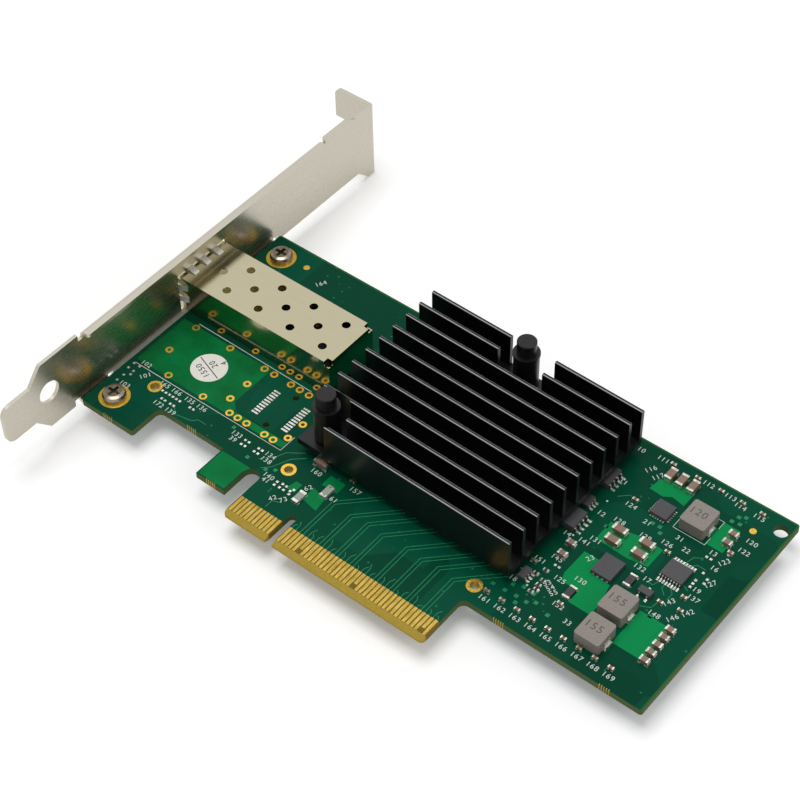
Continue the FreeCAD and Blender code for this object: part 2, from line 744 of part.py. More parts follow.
flange = new_sketch(bracket, "FlangeOutline", "XZ_Plane", f"-({bracket_end})")
flange_edge = "plate_in - flange_deep"
notch_end = f"{flange_edge} + notch_deep"
add_loop(flange, (
    ("plate_in", f"{low_side} - jog_low"),
    ("plate_in", f"{high_side} - jog_high"),
    (flange_edge, f"{high_side} - jog_high"),
    (flange_edge, "notch_z + notch_wide / 2"),
    (notch_end, "notch_z + notch_wide / 2"),
    (notch_end, "notch_z - notch_wide / 2"),
    (flange_edge, "notch_z - notch_wide / 2"),
    (flange_edge, f"{low_side} - jog_low"),
))
pad(bracket, "Flange", flange, "sheet")

bend_out = "bend_in + sheet"
fillet(bracket, "LipBendOutside", along("Y", (
    (plate_out, high_side),), "lip_from", lip_to), bend_out)
fillet(bracket, "LipBendInside", along("Y", (
    ("plate_in", f"{high_side} - sheet"),), "lip_from", lip_to), "bend_in")
for step, screw in enumerate(("screw_low", "screw_high")):
    reach = (f"{screw} - lug_wide / 2", f"{screw} + lug_wide / 2")
    fillet(bracket, f"LugBendOutside{step}", along("Y", ((plate_out, low_side),), *reach), bend_out)
    fillet(bracket, f"LugBendInside{step}", along("Y", (("plate_in", "-board_thick"),), *reach),
           "bend_in")
fillet(bracket, "FlangeBendOutside", along("Z", (("plate_in", bracket_end),)), bend_out)
fillet(bracket, "FlangeBendInside", along("Z", ((plate_out, f"{bracket_end} - sheet"),)), "bend_in")
fillet(bracket, "LugCorners", along("Z", tuple(
    ("plate_in + lug_long", f"{screw} {side} lug_wide / 2")
    for screw in ("screw_low", "screw_high") for side in "-+")), "lug_round")
fillet(bracket, "LipCorners", along("Z", (
    (f"{plate_out} + lip_deep", "lip_from"), (f"{plate_out} + lip_deep", lip_to),
)), "lip_corner")
fillet(bracket, "FlangeCorners", along("Y", (
    (flange_edge, f"{low_side} - jog_low"), (flange_edge, f"{high_side} - jog_high"),
)), "flange_round")
fillet(bracket, "TipCornersOfPlate", along("X", (
    ("bracket_tip", f"{plate_mid} - tongue_wide / 2"),
    ("bracket_tip", f"{plate_mid} + tongue_wide / 2"),
)), "tip_corner")

notch = new_sketch(bracket, "NotchEnd", "XZ_Plane", f"-({bracket_end})")
add_circle(notch, notch_end, "notch_z", "notch_wide / 2")
cut(bracket, "ScrewNotch", notch, "sheet", back=True)

tapped = new_sketch(bracket, "TappedHoles", "XY_Plane", "-board_thick")
for screw in ("screw_low", "screw_high"):
    add_circle(tapped, "screw_x", screw, "screw_r + screw_fit")
cut(bracket, "Tapping", tapped, "sheet")

opening = new_sketch(bracket, "PortOpening", "YZ_Plane", plate_out)
add_box(opening, "port_y - cage_wide / 2 - spring_room", "cage_low - spring_room",
        "port_y + cage_wide / 2 + spring_room", "cage_high + spring_room")
add_circle(opening, "finger_hole_y", f"{plate_mid} + finger_hole_rise", "finger_hole_r")
cut(bracket, "Openings", opening, "sheet", back=True)
fillet(bracket, "OpeningCorners", along("X", tuple(
    (f"port_y {side} (cage_wide / 2 + spring_room)", level)
    for side in "-+" for level in ("cage_low - spring_room", "cage_high + spring_room"))),
    "opening_round")


# --- bracket screws ----------------------------------------------------------

def make_screw(name, y):
    """A pan-head screw with a cross recess, its seat at Z = 0."""
    screw = new_body(name)
    profile = new_sketch(screw, name + "_profile", "XZ_Plane")
    add_loop(profile, (
        ("0", "-screw_long"),
        ("screw_r", "-screw_long"),
        ("screw_r", "0"),
        ("head_r", "0"),
        ("head_r", "head_high - head_round"),
        ("head_r - head_round * 0.3", "head_high - head_round * 0.3"),
        ("head_r - head_round", "head_high"),
        ("0", "head_high"),
    ))
    spin(screw, name + "_turned", profile)
    cross = new_sketch(screw, name + "_cross", "XY_Plane", "head_high")
    arm, half = "cross_long / 2", "cross_wide / 2"
    add_loop(cross, (
        (arm, f"-{half}"), (arm, half), (half, half), (half, arm),
        (f"-{half}", arm), (f"-{half}", half), (f"-{arm}", half), (f"-{arm}", f"-{half}"),
        (f"-{half}", f"-{half}"), (f"-{half}", f"-{arm}"), (half, f"-{arm}"), (half, f"-{half}"),
    ))
    cut(screw, name + "_recess", cross, "cross_deep")
    place(screw, "screw_x", y)
    return screw


make_screw("bracket_screw_lower", "screw_low")
make_screw("bracket_screw_upper", "screw_high")


# --- port cage ---------------------------------------------------------------

cage_front = "plate_in - sheet - cage_out"
cage_half = "cage_wide / 2"
cage = new_body("port_cage")
base = new_sketch(cage, "CageOutline", "XY_Plane", "cage_low")
add_box(base, cage_front, f"port_y - {cage_half}", "cage_rear", f"port_y + {cage_half}")
pad(cage, "CageBlock", base, "cage_high - cage_low")

mouth = new_sketch(cage, "CageMouth", "YZ_Plane", cage_front)
add_box(mouth, f"port_y - {cage_half} + cage_sheet", "cage_low + cage_sheet",
        f"port_y + {cage_half} - cage_sheet", "cage_high - cage_sheet")
cut(cage, "CageInside", mouth, f"cage_rear - cage_sheet - ({cage_front})", back=True)

floor = new_sketch(cage, "FloorOpening", "XY_Plane", "cage_low + cage_sheet")
add_box(floor, "cage_rear - floor_open", f"port_y - {cage_half} + cage_sheet",
        "cage_rear - cage_sheet", f"port_y + {cage_half} - cage_sheet")
cut(cage, "FloorCut", floor, "cage_sheet")

VENT_ROWS = (
    ("port_y - vent_row", "vent_last - vent_pitch * 3"),
    ("port_y", "vent_last - vent_pitch * 3.5"),
    ("port_y + vent_row", "vent_last - vent_pitch * 3"),
)
vents = new_sketch(cage, "FirstVents", "XY_Plane", "cage_high")
for y, x in VENT_ROWS:
    add_facets(vents, x, y, "vent_r", VENT_SIDES)
first_vents = cut(cage, "VentHoles", vents, "cage_sheet")
repeat(cage, "VentRows", [first_vents], "X_Axis", "vent_pitch * 3", "4")

rear = new_sketch(cage, "RearCorners", "XY_Plane", "cage_high")
for side in "-+":
    add_box(rear, "cage_rear - corner_cut", f"port_y {side} ({cage_half} - corner_cut)",
            "cage_rear", f"port_y {side} {cage_half}")
cut(cage, "CornerNotches", rear, "corner_cut")

legs = new_sketch(cage, "CagePins", "XY_Plane", "cage_low")
for side, row in (("-", NEAR_ROW), ("+", FAR_ROW)):
    for back in row:
        add_box(legs, f"cage_rear - {back} - cage_pin / 2", f"port_y {side} {cage_half}",
                f"cage_rear - {back} + cage_pin / 2",
                f"port_y {side} ({cage_half} - cage_sheet)")
pad(cage, "PressPins", legs, "cage_pin_long", back=True)


# --- spring fingers ----------------------------------------------------------

springs = new_body("port_springs")
band_from = f"{cage_front} + spring_set"
band_to = f"{band_from} + spring_band"
band = new_sketch(springs, "BandSection", "YZ_Plane", band_from)
add_box(band, f"port_y - {cage_half} - spring_sheet", "cage_low - spring_sheet",
        f"port_y + {cage_half} + spring_sheet", "cage_high + spring_sheet")
add_box(band, f"port_y - {cage_half}", "cage_low", f"port_y + {cage_half}", "cage_high")
pad(springs, "Band", band, "spring_band")

crest = "spring_room - spring_gap"


def finger(name, plane, offset, face, sign, tail):
    """One arched finger drawn across a face of the cage."""
    shape = new_sketch(springs, name + "Profile", plane, offset)

    def lift(height):
        return f"{face} {sign} ({height})"
    path = (
        (f"{band_from} + spring_band / 2", "0"),
        (f"{plate_out} - sheet", f"{crest} - spring_sheet"),
        ("plate_in", f"{crest} - spring_sheet"),
        (tail, "spring_gap"),
    )
    under = [(x, lift(height)) for x, height in path]
    over = [(x, lift(f"{height} + spring_sheet")) for x, height in reversed(path)]
    add_loop(shape, tuple(under + over))
    feature = springs.newObject("PartDesign::Pad", name)
    feature.Profile = shape
    feature.Midplane = True
    drive(feature, "Length", "spring_wide")
    return feature


top = finger("TopFinger", "XZ_Plane", "-(port_y - spring_pitch)", "cage_high", "+", "spring_tail")
repeat(springs, "TopFingers", [top], "Y_Axis", "spring_pitch * 2", "3")
low = finger("LowFinger", "XZ_Plane", "-(port_y - spring_pitch)", "cage_low", "-",
             "spring_tail_low")
repeat(springs, "LowFingers", [low], "Y_Axis", "spring_pitch * 2", "3")
near = finger("NearFinger", "XY_Plane", "spring_side_z", f"port_y - {cage_half}", "-",
              "spring_tail")
repeat(springs, "NearFingers", [near], "Z_Axis", "spring_side_pitch", "2")
far = finger("FarFinger", "XY_Plane", "spring_side_z", f"port_y + {cage_half}", "+",
             "spring_tail")
repeat(springs, "FarFingers", [far], "Z_Axis", "spring_side_pitch", "2")


# --- module connector --------------------------------------------------------

housing = new_body("port_connector")
block_shape = new_sketch(housing, "HousingOutline", "XY_Plane")
add_box(block_shape, "housing_from", "port_y - housing_wide / 2",
        "housing_from + housing_long", "port_y + housing_wide / 2")
pad(housing, "HousingBlock", block_shape, "housing_high")
slot = new_sketch(housing, "SlotSection", "YZ_Plane", "housing_from")
add_box(slot, "port_y - card_slot_wide / 2", "card_slot_z - card_slot / 2",
        "port_y + card_slot_wide / 2", "card_slot_z + card_slot / 2")
cut(housing, "CardSlot", slot, "card_slot_deep", back=True)
pegs = new_sketch(housing, "PegSections", "XY_Plane")
for side in "-+":
    add_facets(pegs, "peg_x", f"port_y {side} peg_half", "peg_pin_r", PIN_HOLE_SIDES)
pad(housing, "Pegs", pegs, "board_thick", back=True)

contacts = new_body("port_contacts")
first_pin = "port_y - pin_pitch * (pin_count - 1) / 2"
CONTACT_ROWS = (
    ("front_feet", "housing_from - foot_long", "foot_long", "0"),
    ("rear_feet", "housing_from + housing_long", "foot_long", "0"),
    ("lower_blades", "housing_from + card_slot", "card_slot_deep - card_slot",
     "card_slot_z - card_slot / 2"),
    ("upper_blades", "housing_from + card_slot", "card_slot_deep - card_slot",
     "card_slot_z + card_slot / 2 - pin_thick"),
)
for row, start, long, level in CONTACT_ROWS:
    foot = new_sketch(contacts, row + "_shape", "XY_Plane", level)
    add_box(foot, start, f"{first_pin} - pin_wide / 2",
            f"{start} + {long}", f"{first_pin} + pin_wide / 2")
    one = pad(contacts, row + "_first", foot, "pin_thick")
    repeat(contacts, row, [one], "Y_Axis", "pin_pitch * (pin_count - 1)", "pin_count")


# --- controller --------------------------------------------------------------

node(block("controller_package", "chip_x - chip_wide / 2", "chip_y - chip_wide / 2", "chip_gap",
           "chip_wide", "chip_wide", "chip_high - chip_gap"), "controller_package")
node(block("controller_die", "chip_x - die_x / 2", "chip_y - die_y / 2", "chip_high",
           "die_x", "die_y", "die_high"), "controller_die")
node(block("thermal_pad", "chip_x - die_x / 2", "chip_y - die_y / 2", "chip_high + die_high",
           "die_x", "die_y", "paste"), "thermal_pad")


# --- heat sink ---------------------------------------------------------------

sink_low = "chip_high + die_high + paste"
sink_floor = f"{sink_low} + sink_base"
half_long = "sink_long / 2"
half_deep = "sink_deep / 2"


def from_sink(pin):
    """A pin's place as seen from the middle of the leaning heat sink."""
    away, up = f"({pin}_x - sink_x)", f"({pin}_y - sink_y)"
    return f"{away} + {up} * sink_skew", f"{up} - {away} * sink_skew"


sink = new_body("heat_sink")
plan = new_sketch(sink, "SinkPlan", "XY_Plane", sink_low)
add_box(plan, f"-{half_long}", f"-{half_deep}", half_long, half_deep)
pad(sink, "BasePlate", plan, "sink_base")
section = new_sketch(sink, "FinSection", "YZ_Plane", f"-{half_long}")
add_loop(section, (
    (f"-{half_deep}", sink_floor),
    (f"fin_thick - {half_deep}", sink_floor),
    (f"fin_thick - {half_deep}", "sink_top - fin_edge"),
    (f"fin_thick - fin_edge - {half_deep}", "sink_top"),
    (f"fin_edge - {half_deep}", "sink_top"),
    (f"-{half_deep}", "sink_top - fin_edge"),
))
fin = pad(sink, "FirstFin", section, "sink_long")
repeat(sink, "Fins", [fin], "Y_Axis", "sink_deep - fin_thick", "fin_count")

front_x, front_y = from_sink("pin_a")
rear_x, rear_y = from_sink("pin_b")
round_clear = new_sketch(sink, "FrontClearanceRound", "XY_Plane", "sink_top")
add_circle(round_clear, front_x, front_y, "clear_r")
cut(sink, "FrontRoundCut", round_clear, f"sink_top - ({sink_floor})")
open_clear = new_sketch(sink, "Clearances", "XY_Plane", "sink_top")
add_box(open_clear, f"-{half_long}", f"-{half_deep}", front_x, front_y)
add_box(open_clear, f"{rear_x} - clear_half", f"{half_deep} - clear_back",
        f"{rear_x} + clear_half", half_deep)
cut(sink, "ClearanceCuts", open_clear, f"sink_top - ({sink_floor})")
drill = new_sketch(sink, "PinHoles", "XY_Plane", sink_floor)
add_circle(drill, front_x, front_y, "sink_hole")
add_circle(drill, rear_x, rear_y, "sink_hole")
cut(sink, "PinDrillings", drill, "sink_base")
place(sink, "sink_x", "sink_y", turn=math.degrees(math.asin(size("sink_skew"))))


# --- push pins and their springs ---------------------------------------------

barb_tip = "-board_thick - barb_long"
sleeve_low = f"{sink_floor} + sleeve_lift"
rim_low = "rim_top - rim_high"
hollow_top = f"{rim_low} - sleeve_wall * 2"


def make_push_pin(name, x, y):
    """A moulded pin whose split barb holds under the board."""
    pin = new_body(name)
    profile = new_sketch(pin, name + "_profile", "XZ_Plane")
    add_loop(profile, (
        ("0", barb_tip),
        ("shaft_r * 0.6", barb_tip),
        ("barb_r", "-board_thick - pin_fit"),
        ("shaft_r", "-board_thick - pin_fit"),
        ("shaft_r", hollow_top),
        ("sleeve_r - sleeve_wall", hollow_top),
        ("sleeve_r - sleeve_wall", sleeve_low),
        ("sleeve_r", sleeve_low),
        ("sleeve_r", rim_low),
        ("rim_r", rim_low),
        ("rim_r", "rim_top"),
        ("knob_r", "rim_top"),
        ("knob_r", "knob_top - knob_round"),
        ("knob_r - knob_round", "knob_top"),
        ("0", "knob_top"),
    ))
    spin(pin, name + "_turned", profile)
    slit = new_sketch(pin, name + "_slit_shape", "XY_Plane", barb_tip)
    add_box(slit, "-barb_r * 2", "-barb_slit / 2", "barb_r * 2", "barb_slit / 2")
    cut(pin, name + "_slit", slit, "barb_long + board_thick", back=True)
    place(pin, x, y)
    return pin


def make_coil(name, x, y):
    """The compression spring between a pin's sleeve top and the base plate."""
    low = size(f"{sink_floor} + coil_wire * 0.7")
    rise = size(f"{hollow_top} - ({sink_floor}) - coil_wire * 1.4")
    steps = round(size("coil_turns")) * COIL_SIDES
    radius, wire = size("coil_r"), size("coil_wire")
    path = []
    for step in range(steps + 1):
        turn = 2 * math.pi * step / COIL_SIDES
        path.append(FreeCAD.Vector(radius * math.cos(turn), radius * math.sin(turn),
                                   low + rise * step / steps))
    corner = [FreeCAD.Vector(radius + a * wire / 2, 0, low + b * wire / 2)
              for a, b in ((-1, -1), (1, -1), (1, 1), (-1, 1), (-1, -1))]
    sweep = Part.Wire(Part.makePolygon(path)).makePipeShell(
        [Part.Wire(Part.makePolygon(corner))], True, True, 1)
    coil = node(doc.addObject("Part::Feature", name), name)
    coil.Shape = sweep
    place(coil, x, y)
    return coil


for letter, place_word in (("a", "front"), ("b", "rear")):
    make_push_pin(f"push_pin_{place_word}", f"pin_{letter}_x", f"pin_{letter}_y")
    make_coil(f"pin_spring_{place_word}", f"pin_{letter}_x", f"pin_{letter}_y")


# --- inductors ---------------------------------------------------------------

for letter in "abc":
    name = f"inductor_{letter}"
    core = new_body(name + "_core")
    plan = new_sketch(core, name + "_plan", "XY_Plane")
    add_box(plan, "-inductor_long / 2", "-inductor_wide / 2",
            "inductor_long / 2", "inductor_wide / 2")
    pad(core, name + "_block", plan, "inductor_high")
    upright = tuple((f"{a}inductor_long / 2", f"{b}inductor_wide / 2")
                    for a in ("", "-") for b in ("", "-"))
    chamfer(core, name + "_edges", along("Z", upright), "inductor_edge", "inductor_edge")
    place(core, f"coil_{letter}_x", f"coil_{letter}_y")

terminals = []
for letter in "abc":
    for side, start in (("left", "-inductor_long / 2 - terminal_thick"),
                        ("right", "+inductor_long / 2")):
        terminals.append(block(
            f"inductor_{letter}_terminal_{side}",
            f"coil_{letter}_x {start}", f"coil_{letter}_y - terminal_wide / 2", "0",
            "terminal_thick", "terminal_wide", "terminal_high"))
gather("inductor_terminals", terminals)


# --- chip parts --------------------------------------------------------------

chip_bodies = {}
chip_ends = {}


def chip(kind, family, name, x, y, upright=False):
    """A chip part: a body between two end caps, along X or along Y."""
    long, wide, high, end = (f"{kind}_{word}" for word in ("long", "wide", "high", "end"))
    shapes = (
        (chip_bodies, "body", f"-{long} / 2 + {end}", f"{long} - {end} * 2", "end_proud"),
        (chip_ends, "near_cap", f"-{long} / 2", end, "0"),
        (chip_ends, "far_cap", f"+{long} / 2 - {end}", end, "0"),
    )
    for store, word, start, length, inset in shapes:
        across = f"-{wide} / 2 + {inset}"
        girth = f"{wide} - {inset} * 2"
        tall = f"{high} - {inset} * 2"
        if upright:
            piece = block(f"{name}_{word}", f"{x} {across}", f"{y} {start}", inset,
                          girth, length, tall)
        else:
            piece = block(f"{name}_{word}", f"{x} {start}", f"{y} {across}", inset,
                          length, girth, tall)
        store.setdefault(family, []).append(piece)


for letter in "abcde":
    chip("large", "capacitor", f"large_{letter}", f"large_{letter}_x", f"large_{letter}_y")
for step in range(round(size("bank_count"))):
    chip("large", "capacitor", f"bank_{step}", f"bank_x + bank_pitch * {step}", "bank_y",
         upright=True)
for letter in "abcd":
    chip("middle", "capacitor", f"middle_{letter}", f"middle_{letter}_x", f"middle_{letter}_y")
for step in range(round(size("column_count"))):
    chip("middle", "capacitor", f"column_{step}", "column_x",
         f"column_y + column_pitch * {step}")
for letter in "abcdefghijklmn":
    chip("small", "small_capacitor", f"small_{letter}", f"small_{letter}_x",
         f"small_{letter}_y")
for step in range(round(size("lower_count"))):
    chip("small", "small_capacitor", f"lower_{step}", f"lower_x + lower_pitch * {step}",
         "lower_y")
for letter in "ab":
    chip("resistor", "resistor", f"resistor_{letter}", f"resistor_{letter}_x",
         f"resistor_{letter}_y", upright=True)
    chip("fuse", "fuse", f"fuse_{letter}", f"fuse_{letter}_x", f"fuse_{letter}_y",
         upright=True)
for letter in "abcdef":
    chip("tiny", "resistor", f"tiny_{letter}", f"tiny_{letter}_x", f"tiny_{letter}_y")
for family, pieces in chip_bodies.items():
    gather(f"{family}_bodies", pieces)
for family, pieces in chip_ends.items():
    gather(f"{family}_ends", pieces)


# --- leaded packages ---------------------------------------------------------

def lead_row(body, name, kind, side, pitch, count):
    """A row of bent leads on one side of a package, along the body's Y axis."""
    middle = f"(lead_stand + {kind}_high) / 2"
    reach = f"({kind}_span - {kind}_wide) / 2"
    shape = new_sketch(body, name + "_profile", "XZ_Plane", f"{pitch} * ({count} - 1) / 2")
    path = (
        (f"{kind}_wide / 2", middle),
        (f"{kind}_wide / 2 + {reach} * lead_out", middle),
        (f"{kind}_span / 2 - {reach} * lead_foot", "0"),
        (f"{kind}_span / 2", "0"),
    )
    under = [(f"{side}({x})", z) for x, z in path]
    over = [(f"{side}({x})", f"{z} + lead_thick") for x, z in reversed(path)]
    add_loop(shape, tuple(under + over))
    one = body.newObject("PartDesign::Pad", name + "_first")
    one.Profile = shape
    one.Midplane = True
    drive(one, "Length", f"{kind}_lead")
    if count != "1":
        repeat(body, name + "_row", [one], "Y_Axis", f"{pitch} * ({count} - 1)", count)


def leaded(kind, name, part, rows, turn=0):
    """A moulded package and its leads."""
    package = new_body(name + "_package")
    plan = new_sketch(package, name + "_plan", "XY_Plane", "lead_stand")
    add_box(plan, f"-{kind}_wide / 2", f"-{kind}_long / 2", f"{kind}_wide / 2", f"{kind}_long / 2")
    pad(package, name + "_block", plan, f"{kind}_high - lead_stand")
    place(package, f"{part}_x", f"{part}_y", turn=turn)
    leads = new_body(name + "_leads")
    for step, (side, pitch, count) in enumerate(rows):
        lead_row(leads, f"{name}_side_{step}", kind, side, pitch, count)
    place(leads, f"{part}_x", f"{part}_y", turn=turn)


leaded("octal", "memory_upper", "octal_a", (("", "octal_pitch", "4"), ("-", "octal_pitch", "4")))
leaded("octal", "memory_lower", "octal_b", (("", "octal_pitch", "4"), ("-", "octal_pitch", "4")))
leaded("logic", "logic_upper", "logic_a", (("", "logic_pitch", "3"), ("-", "logic_pitch", "3")))
leaded("logic", "logic_lower", "logic_b",
       (("", "logic_pitch", "3"), ("-", "logic_pitch * 2", "2")))
leaded("logic", "transistor", "logic_c",
       (("-", "logic_pitch * 2", "2"), ("", "logic_pitch", "1")), turn=90)
leaded("driver", "driver", "driver", (("", "driver_pitch", "8"), ("-", "driver_pitch", "8")),
       turn=90)


# --- flat packages -----------------------------------------------------------

node(block("regulator_package", "regulator_x - regulator_wide / 2",
           "regulator_y - regulator_wide / 2", "0",
           "regulator_wide", "regulator_wide", "regulator_high"), "regulator_package")
node(block("power_stage_package", "stage_x - stage_wide / 2", "stage_y - stage_long / 2", "0",
           "stage_wide", "stage_long", "stage_high"), "power_stage_package")
tabs = []
for end, y in (("low", "stage_y - stage_long / 2 - stage_out"),
               ("high", "stage_y + stage_long / 2")):
    for step in range(4):
        tabs.append(block(f"power_stage_{end}_{step}",
                          f"stage_x + stage_pitch * ({step} - 1.5) - stage_pad / 2", y, "0",
                          "stage_pad", "stage_out", "stage_metal"))
gather("power_stage_terminals", tabs)


# --- label -------------------------------------------------------------------

label = doc.addObject("Part::Cylinder", "round_label")
drive(label, "Radius", "label_r")
drive(label, "Height", "label_thick")
place(label, "label_x", "label_y")
node(label, "round_label")


# --- check and write ---------------------------------------------------------

doc.recompute()
for item in doc.Objects:
    if {"Invalid", "Error"} & set(item.State):
        raise ValueError(f"{item.Label} did not build: {item.State}")
for item in nodes:
    if item.Shape.isNull() or not item.Shape.isValid():
        raise ValueError(f"{item.Label} has no sound shape")
for item in nodes:
    item.Shape.exportStep(f"parts/{item.Label}.step")
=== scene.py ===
import math

import bpy
from mathutils import Matrix, Vector


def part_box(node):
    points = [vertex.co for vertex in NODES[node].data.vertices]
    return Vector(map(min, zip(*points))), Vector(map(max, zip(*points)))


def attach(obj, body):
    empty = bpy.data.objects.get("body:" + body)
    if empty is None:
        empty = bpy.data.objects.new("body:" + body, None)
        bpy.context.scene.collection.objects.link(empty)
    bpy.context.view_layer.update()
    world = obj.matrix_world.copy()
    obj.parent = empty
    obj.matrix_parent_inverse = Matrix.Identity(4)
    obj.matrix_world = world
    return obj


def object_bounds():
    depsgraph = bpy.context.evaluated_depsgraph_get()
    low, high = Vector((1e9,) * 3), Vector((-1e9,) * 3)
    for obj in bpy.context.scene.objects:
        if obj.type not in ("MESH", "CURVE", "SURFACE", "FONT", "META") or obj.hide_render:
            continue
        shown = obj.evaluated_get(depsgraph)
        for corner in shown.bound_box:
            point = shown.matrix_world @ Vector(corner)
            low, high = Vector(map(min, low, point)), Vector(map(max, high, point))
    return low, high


# A network card with an edge connector, a caged module port and a finned heat
# sink. The solids come from the frame. This script gives them their finishes and
# adds what is printed, plated or soldered on the board.
# Sizes and places are in millimetres, in the frame's axes: X along the board
# from the bracket, Y up it from the edge connector, and Z = 0 on its upper face.

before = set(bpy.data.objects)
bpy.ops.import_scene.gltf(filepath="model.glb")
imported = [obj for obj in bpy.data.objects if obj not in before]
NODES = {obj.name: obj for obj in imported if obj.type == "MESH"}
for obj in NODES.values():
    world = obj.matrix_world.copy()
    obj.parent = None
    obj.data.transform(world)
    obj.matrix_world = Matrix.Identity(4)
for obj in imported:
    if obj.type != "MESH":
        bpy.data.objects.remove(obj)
CAD_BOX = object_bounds()
MM = 0.001

# Thicknesses of the board's surface layers.
MASK_STEP = 0.02
TRACK_STEP = 0.03
INK_STEP = 0.04
PLATE_STEP = 0.05
PAPER_STEP = 0.02
# Width of the card's rim with no inner copper.
BARE_RIM = 0.45


def box_mm(node):
    """Lowest and highest corners of a solid of the frame."""
    low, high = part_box(node)
    return low / MM, high / MM


BOARD_LOW, BOARD_HIGH = box_mm("circuit_board")
UNDERSIDE = BOARD_LOW.z
BOARD_THICK = BOARD_HIGH.z - UNDERSIDE
MID_BOARD = (BOARD_HIGH.z + UNDERSIDE) / 2
CONTACTS_LOW, CONTACTS_HIGH = box_mm("edge_contacts_top")
CAGE_LOW, CAGE_HIGH = box_mm("port_cage")
LABEL_LOW, LABEL_HIGH = box_mm("round_label")
SINK_LOW, SINK_HIGH = box_mm("heat_sink")
PORT_Y = (CAGE_LOW.y + CAGE_HIGH.y) / 2
PORT_STEP = 17.0
EMPTY_PORT_Y = PORT_Y - PORT_STEP
CAGE_REAR = CAGE_HIGH.x


# --- small helpers for modelling ---------------------------------------------

def deselect():
    """Leave nothing selected, because an operator acts on all that is."""
    bpy.ops.object.select_all(action="DESELECT")


def only(piece):
    """Select one object and make it active."""
    deselect()
    piece.select_set(True)
    bpy.context.view_layer.objects.active = piece


def to_mesh(piece):
    """Make a curve or a text a mesh, and put its place into the mesh."""
    only(piece)
    bpy.ops.object.convert(target="MESH")
    bpy.ops.object.transform_apply(location=True, rotation=True, scale=True)
    return bpy.context.object


def join(pieces):
    """One object from several."""
    deselect()
    for piece in pieces:
        piece.select_set(True)
    bpy.context.view_layer.objects.active = pieces[0]
    if len(pieces) > 1:
        bpy.ops.object.join()
    return bpy.context.object


def settle(piece, name, material):
    """A finished piece: its place goes into its mesh, and it rides on the card."""
    only(piece)
    bpy.ops.object.transform_apply(location=True, rotation=True, scale=True)
    piece.name = name
    piece.data.name = name
    piece.data.materials.clear()
    piece.data.materials.append(material)
    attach(piece, "root")


def new_curve(dimensions):
    """An empty flat or spatial curve."""
    curve = bpy.data.curves.new("outline", "CURVE")
    curve.dimensions = dimensions
    piece = bpy.data.objects.new("outline", curve)
    bpy.context.scene.collection.objects.link(piece)
    return piece


def add_path(curve, points, closed):
    """A straight-sided path in a curve."""
    spline = curve.splines.new("POLY")
    spline.points.add(len(points) - 1)
    for spot, (x, y) in zip(spline.points, points):
        spot.co = (x * MM, y * MM, 0, 1)
    spline.use_cyclic_u = closed


def cut_sheets(outlines, level, thick):
    """Thin sheets with the given outlines, lying on a level."""
    piece = new_curve("2D")
    piece.data.fill_mode = "BOTH"
    piece.data.extrude = thick * MM / 2
    for outline in outlines:
        add_path(piece.data, outline, True)
    piece.location.z = (level + thick / 2) * MM
    return to_mesh(piece)


def draw_lines(paths, width, level, rise):
    """Low ridges along the given paths, such as tracks and printed lines."""
    piece = new_curve("3D")
    piece.data.bevel_depth = width * MM / 2
    piece.data.bevel_resolution = 1
    piece.data.use_fill_caps = True
    for path in paths:
        add_path(piece.data, path, False)
    piece.location.z = level * MM
    piece.scale.z = 2 * rise / width
    return to_mesh(piece)


def rectangle(left, low, right, high):
    """Corners of an upright rectangle."""
    return ((left, low), (right, low), (right, high), (left, high))


def copies(pattern, spots, scales=None):
    """Copies of a piece at (x, y, z) spots, each with its own mesh and, if given, scale."""
    made = []
    for step, spot in enumerate(spots):
        piece = pattern.copy()
        piece.data = pattern.data.copy()
        piece.location = Vector(spot) * MM
        if scales:
            piece.scale = scales[step]
        bpy.context.scene.collection.objects.link(piece)
        made.append(piece)
    bpy.data.objects.remove(pattern)
    return join(made)


def square(x, y, half):
    """Corners of a square round its middle."""
    return rectangle(x - half, y - half, x + half, y + half)


def eyelet(inner, outer, rise, depth, sides=28):
    """A plated hole: a flat ring on each face of the board and the barrel between."""
    deselect()
    bpy.ops.mesh.primitive_cylinder_add(
        vertices=sides, radius=inner * MM, depth=(depth + rise * 2) * MM,
        end_fill_type="NOTHING")
    piece = bpy.context.object
    bpy.ops.object.mode_set(mode="EDIT")
    bpy.ops.mesh.select_all(action="DESELECT")
    bpy.ops.object.mode_set(mode="OBJECT")
    for side in (-1, 1):
        deselect()
        piece.select_set(True)
        for edge in piece.data.edges:
            ends = [piece.data.vertices[v].co.z for v in edge.vertices]
            edge.select = all(end * side > depth * MM / 2 for end in ends)
        bpy.ops.object.mode_set(mode="EDIT")
        bpy.ops.mesh.extrude_region_move()
        bpy.ops.transform.resize(value=(outer / inner, outer / inner, 1))
        bpy.ops.mesh.extrude_region_move(
            TRANSFORM_OT_translate={"value": (0, 0, -side * rise * MM)})
        bpy.ops.mesh.select_all(action="DESELECT")
        bpy.ops.object.mode_set(mode="OBJECT")
    bpy.ops.object.mode_set(mode="EDIT")
    bpy.ops.mesh.select_all(action="SELECT")
    bpy.ops.mesh.normals_make_consistent(inside=False)
    bpy.ops.object.mode_set(mode="OBJECT")
    return piece


# The top of a mound of solder, as a share of its foot.
MOUND_TOP = 0.72


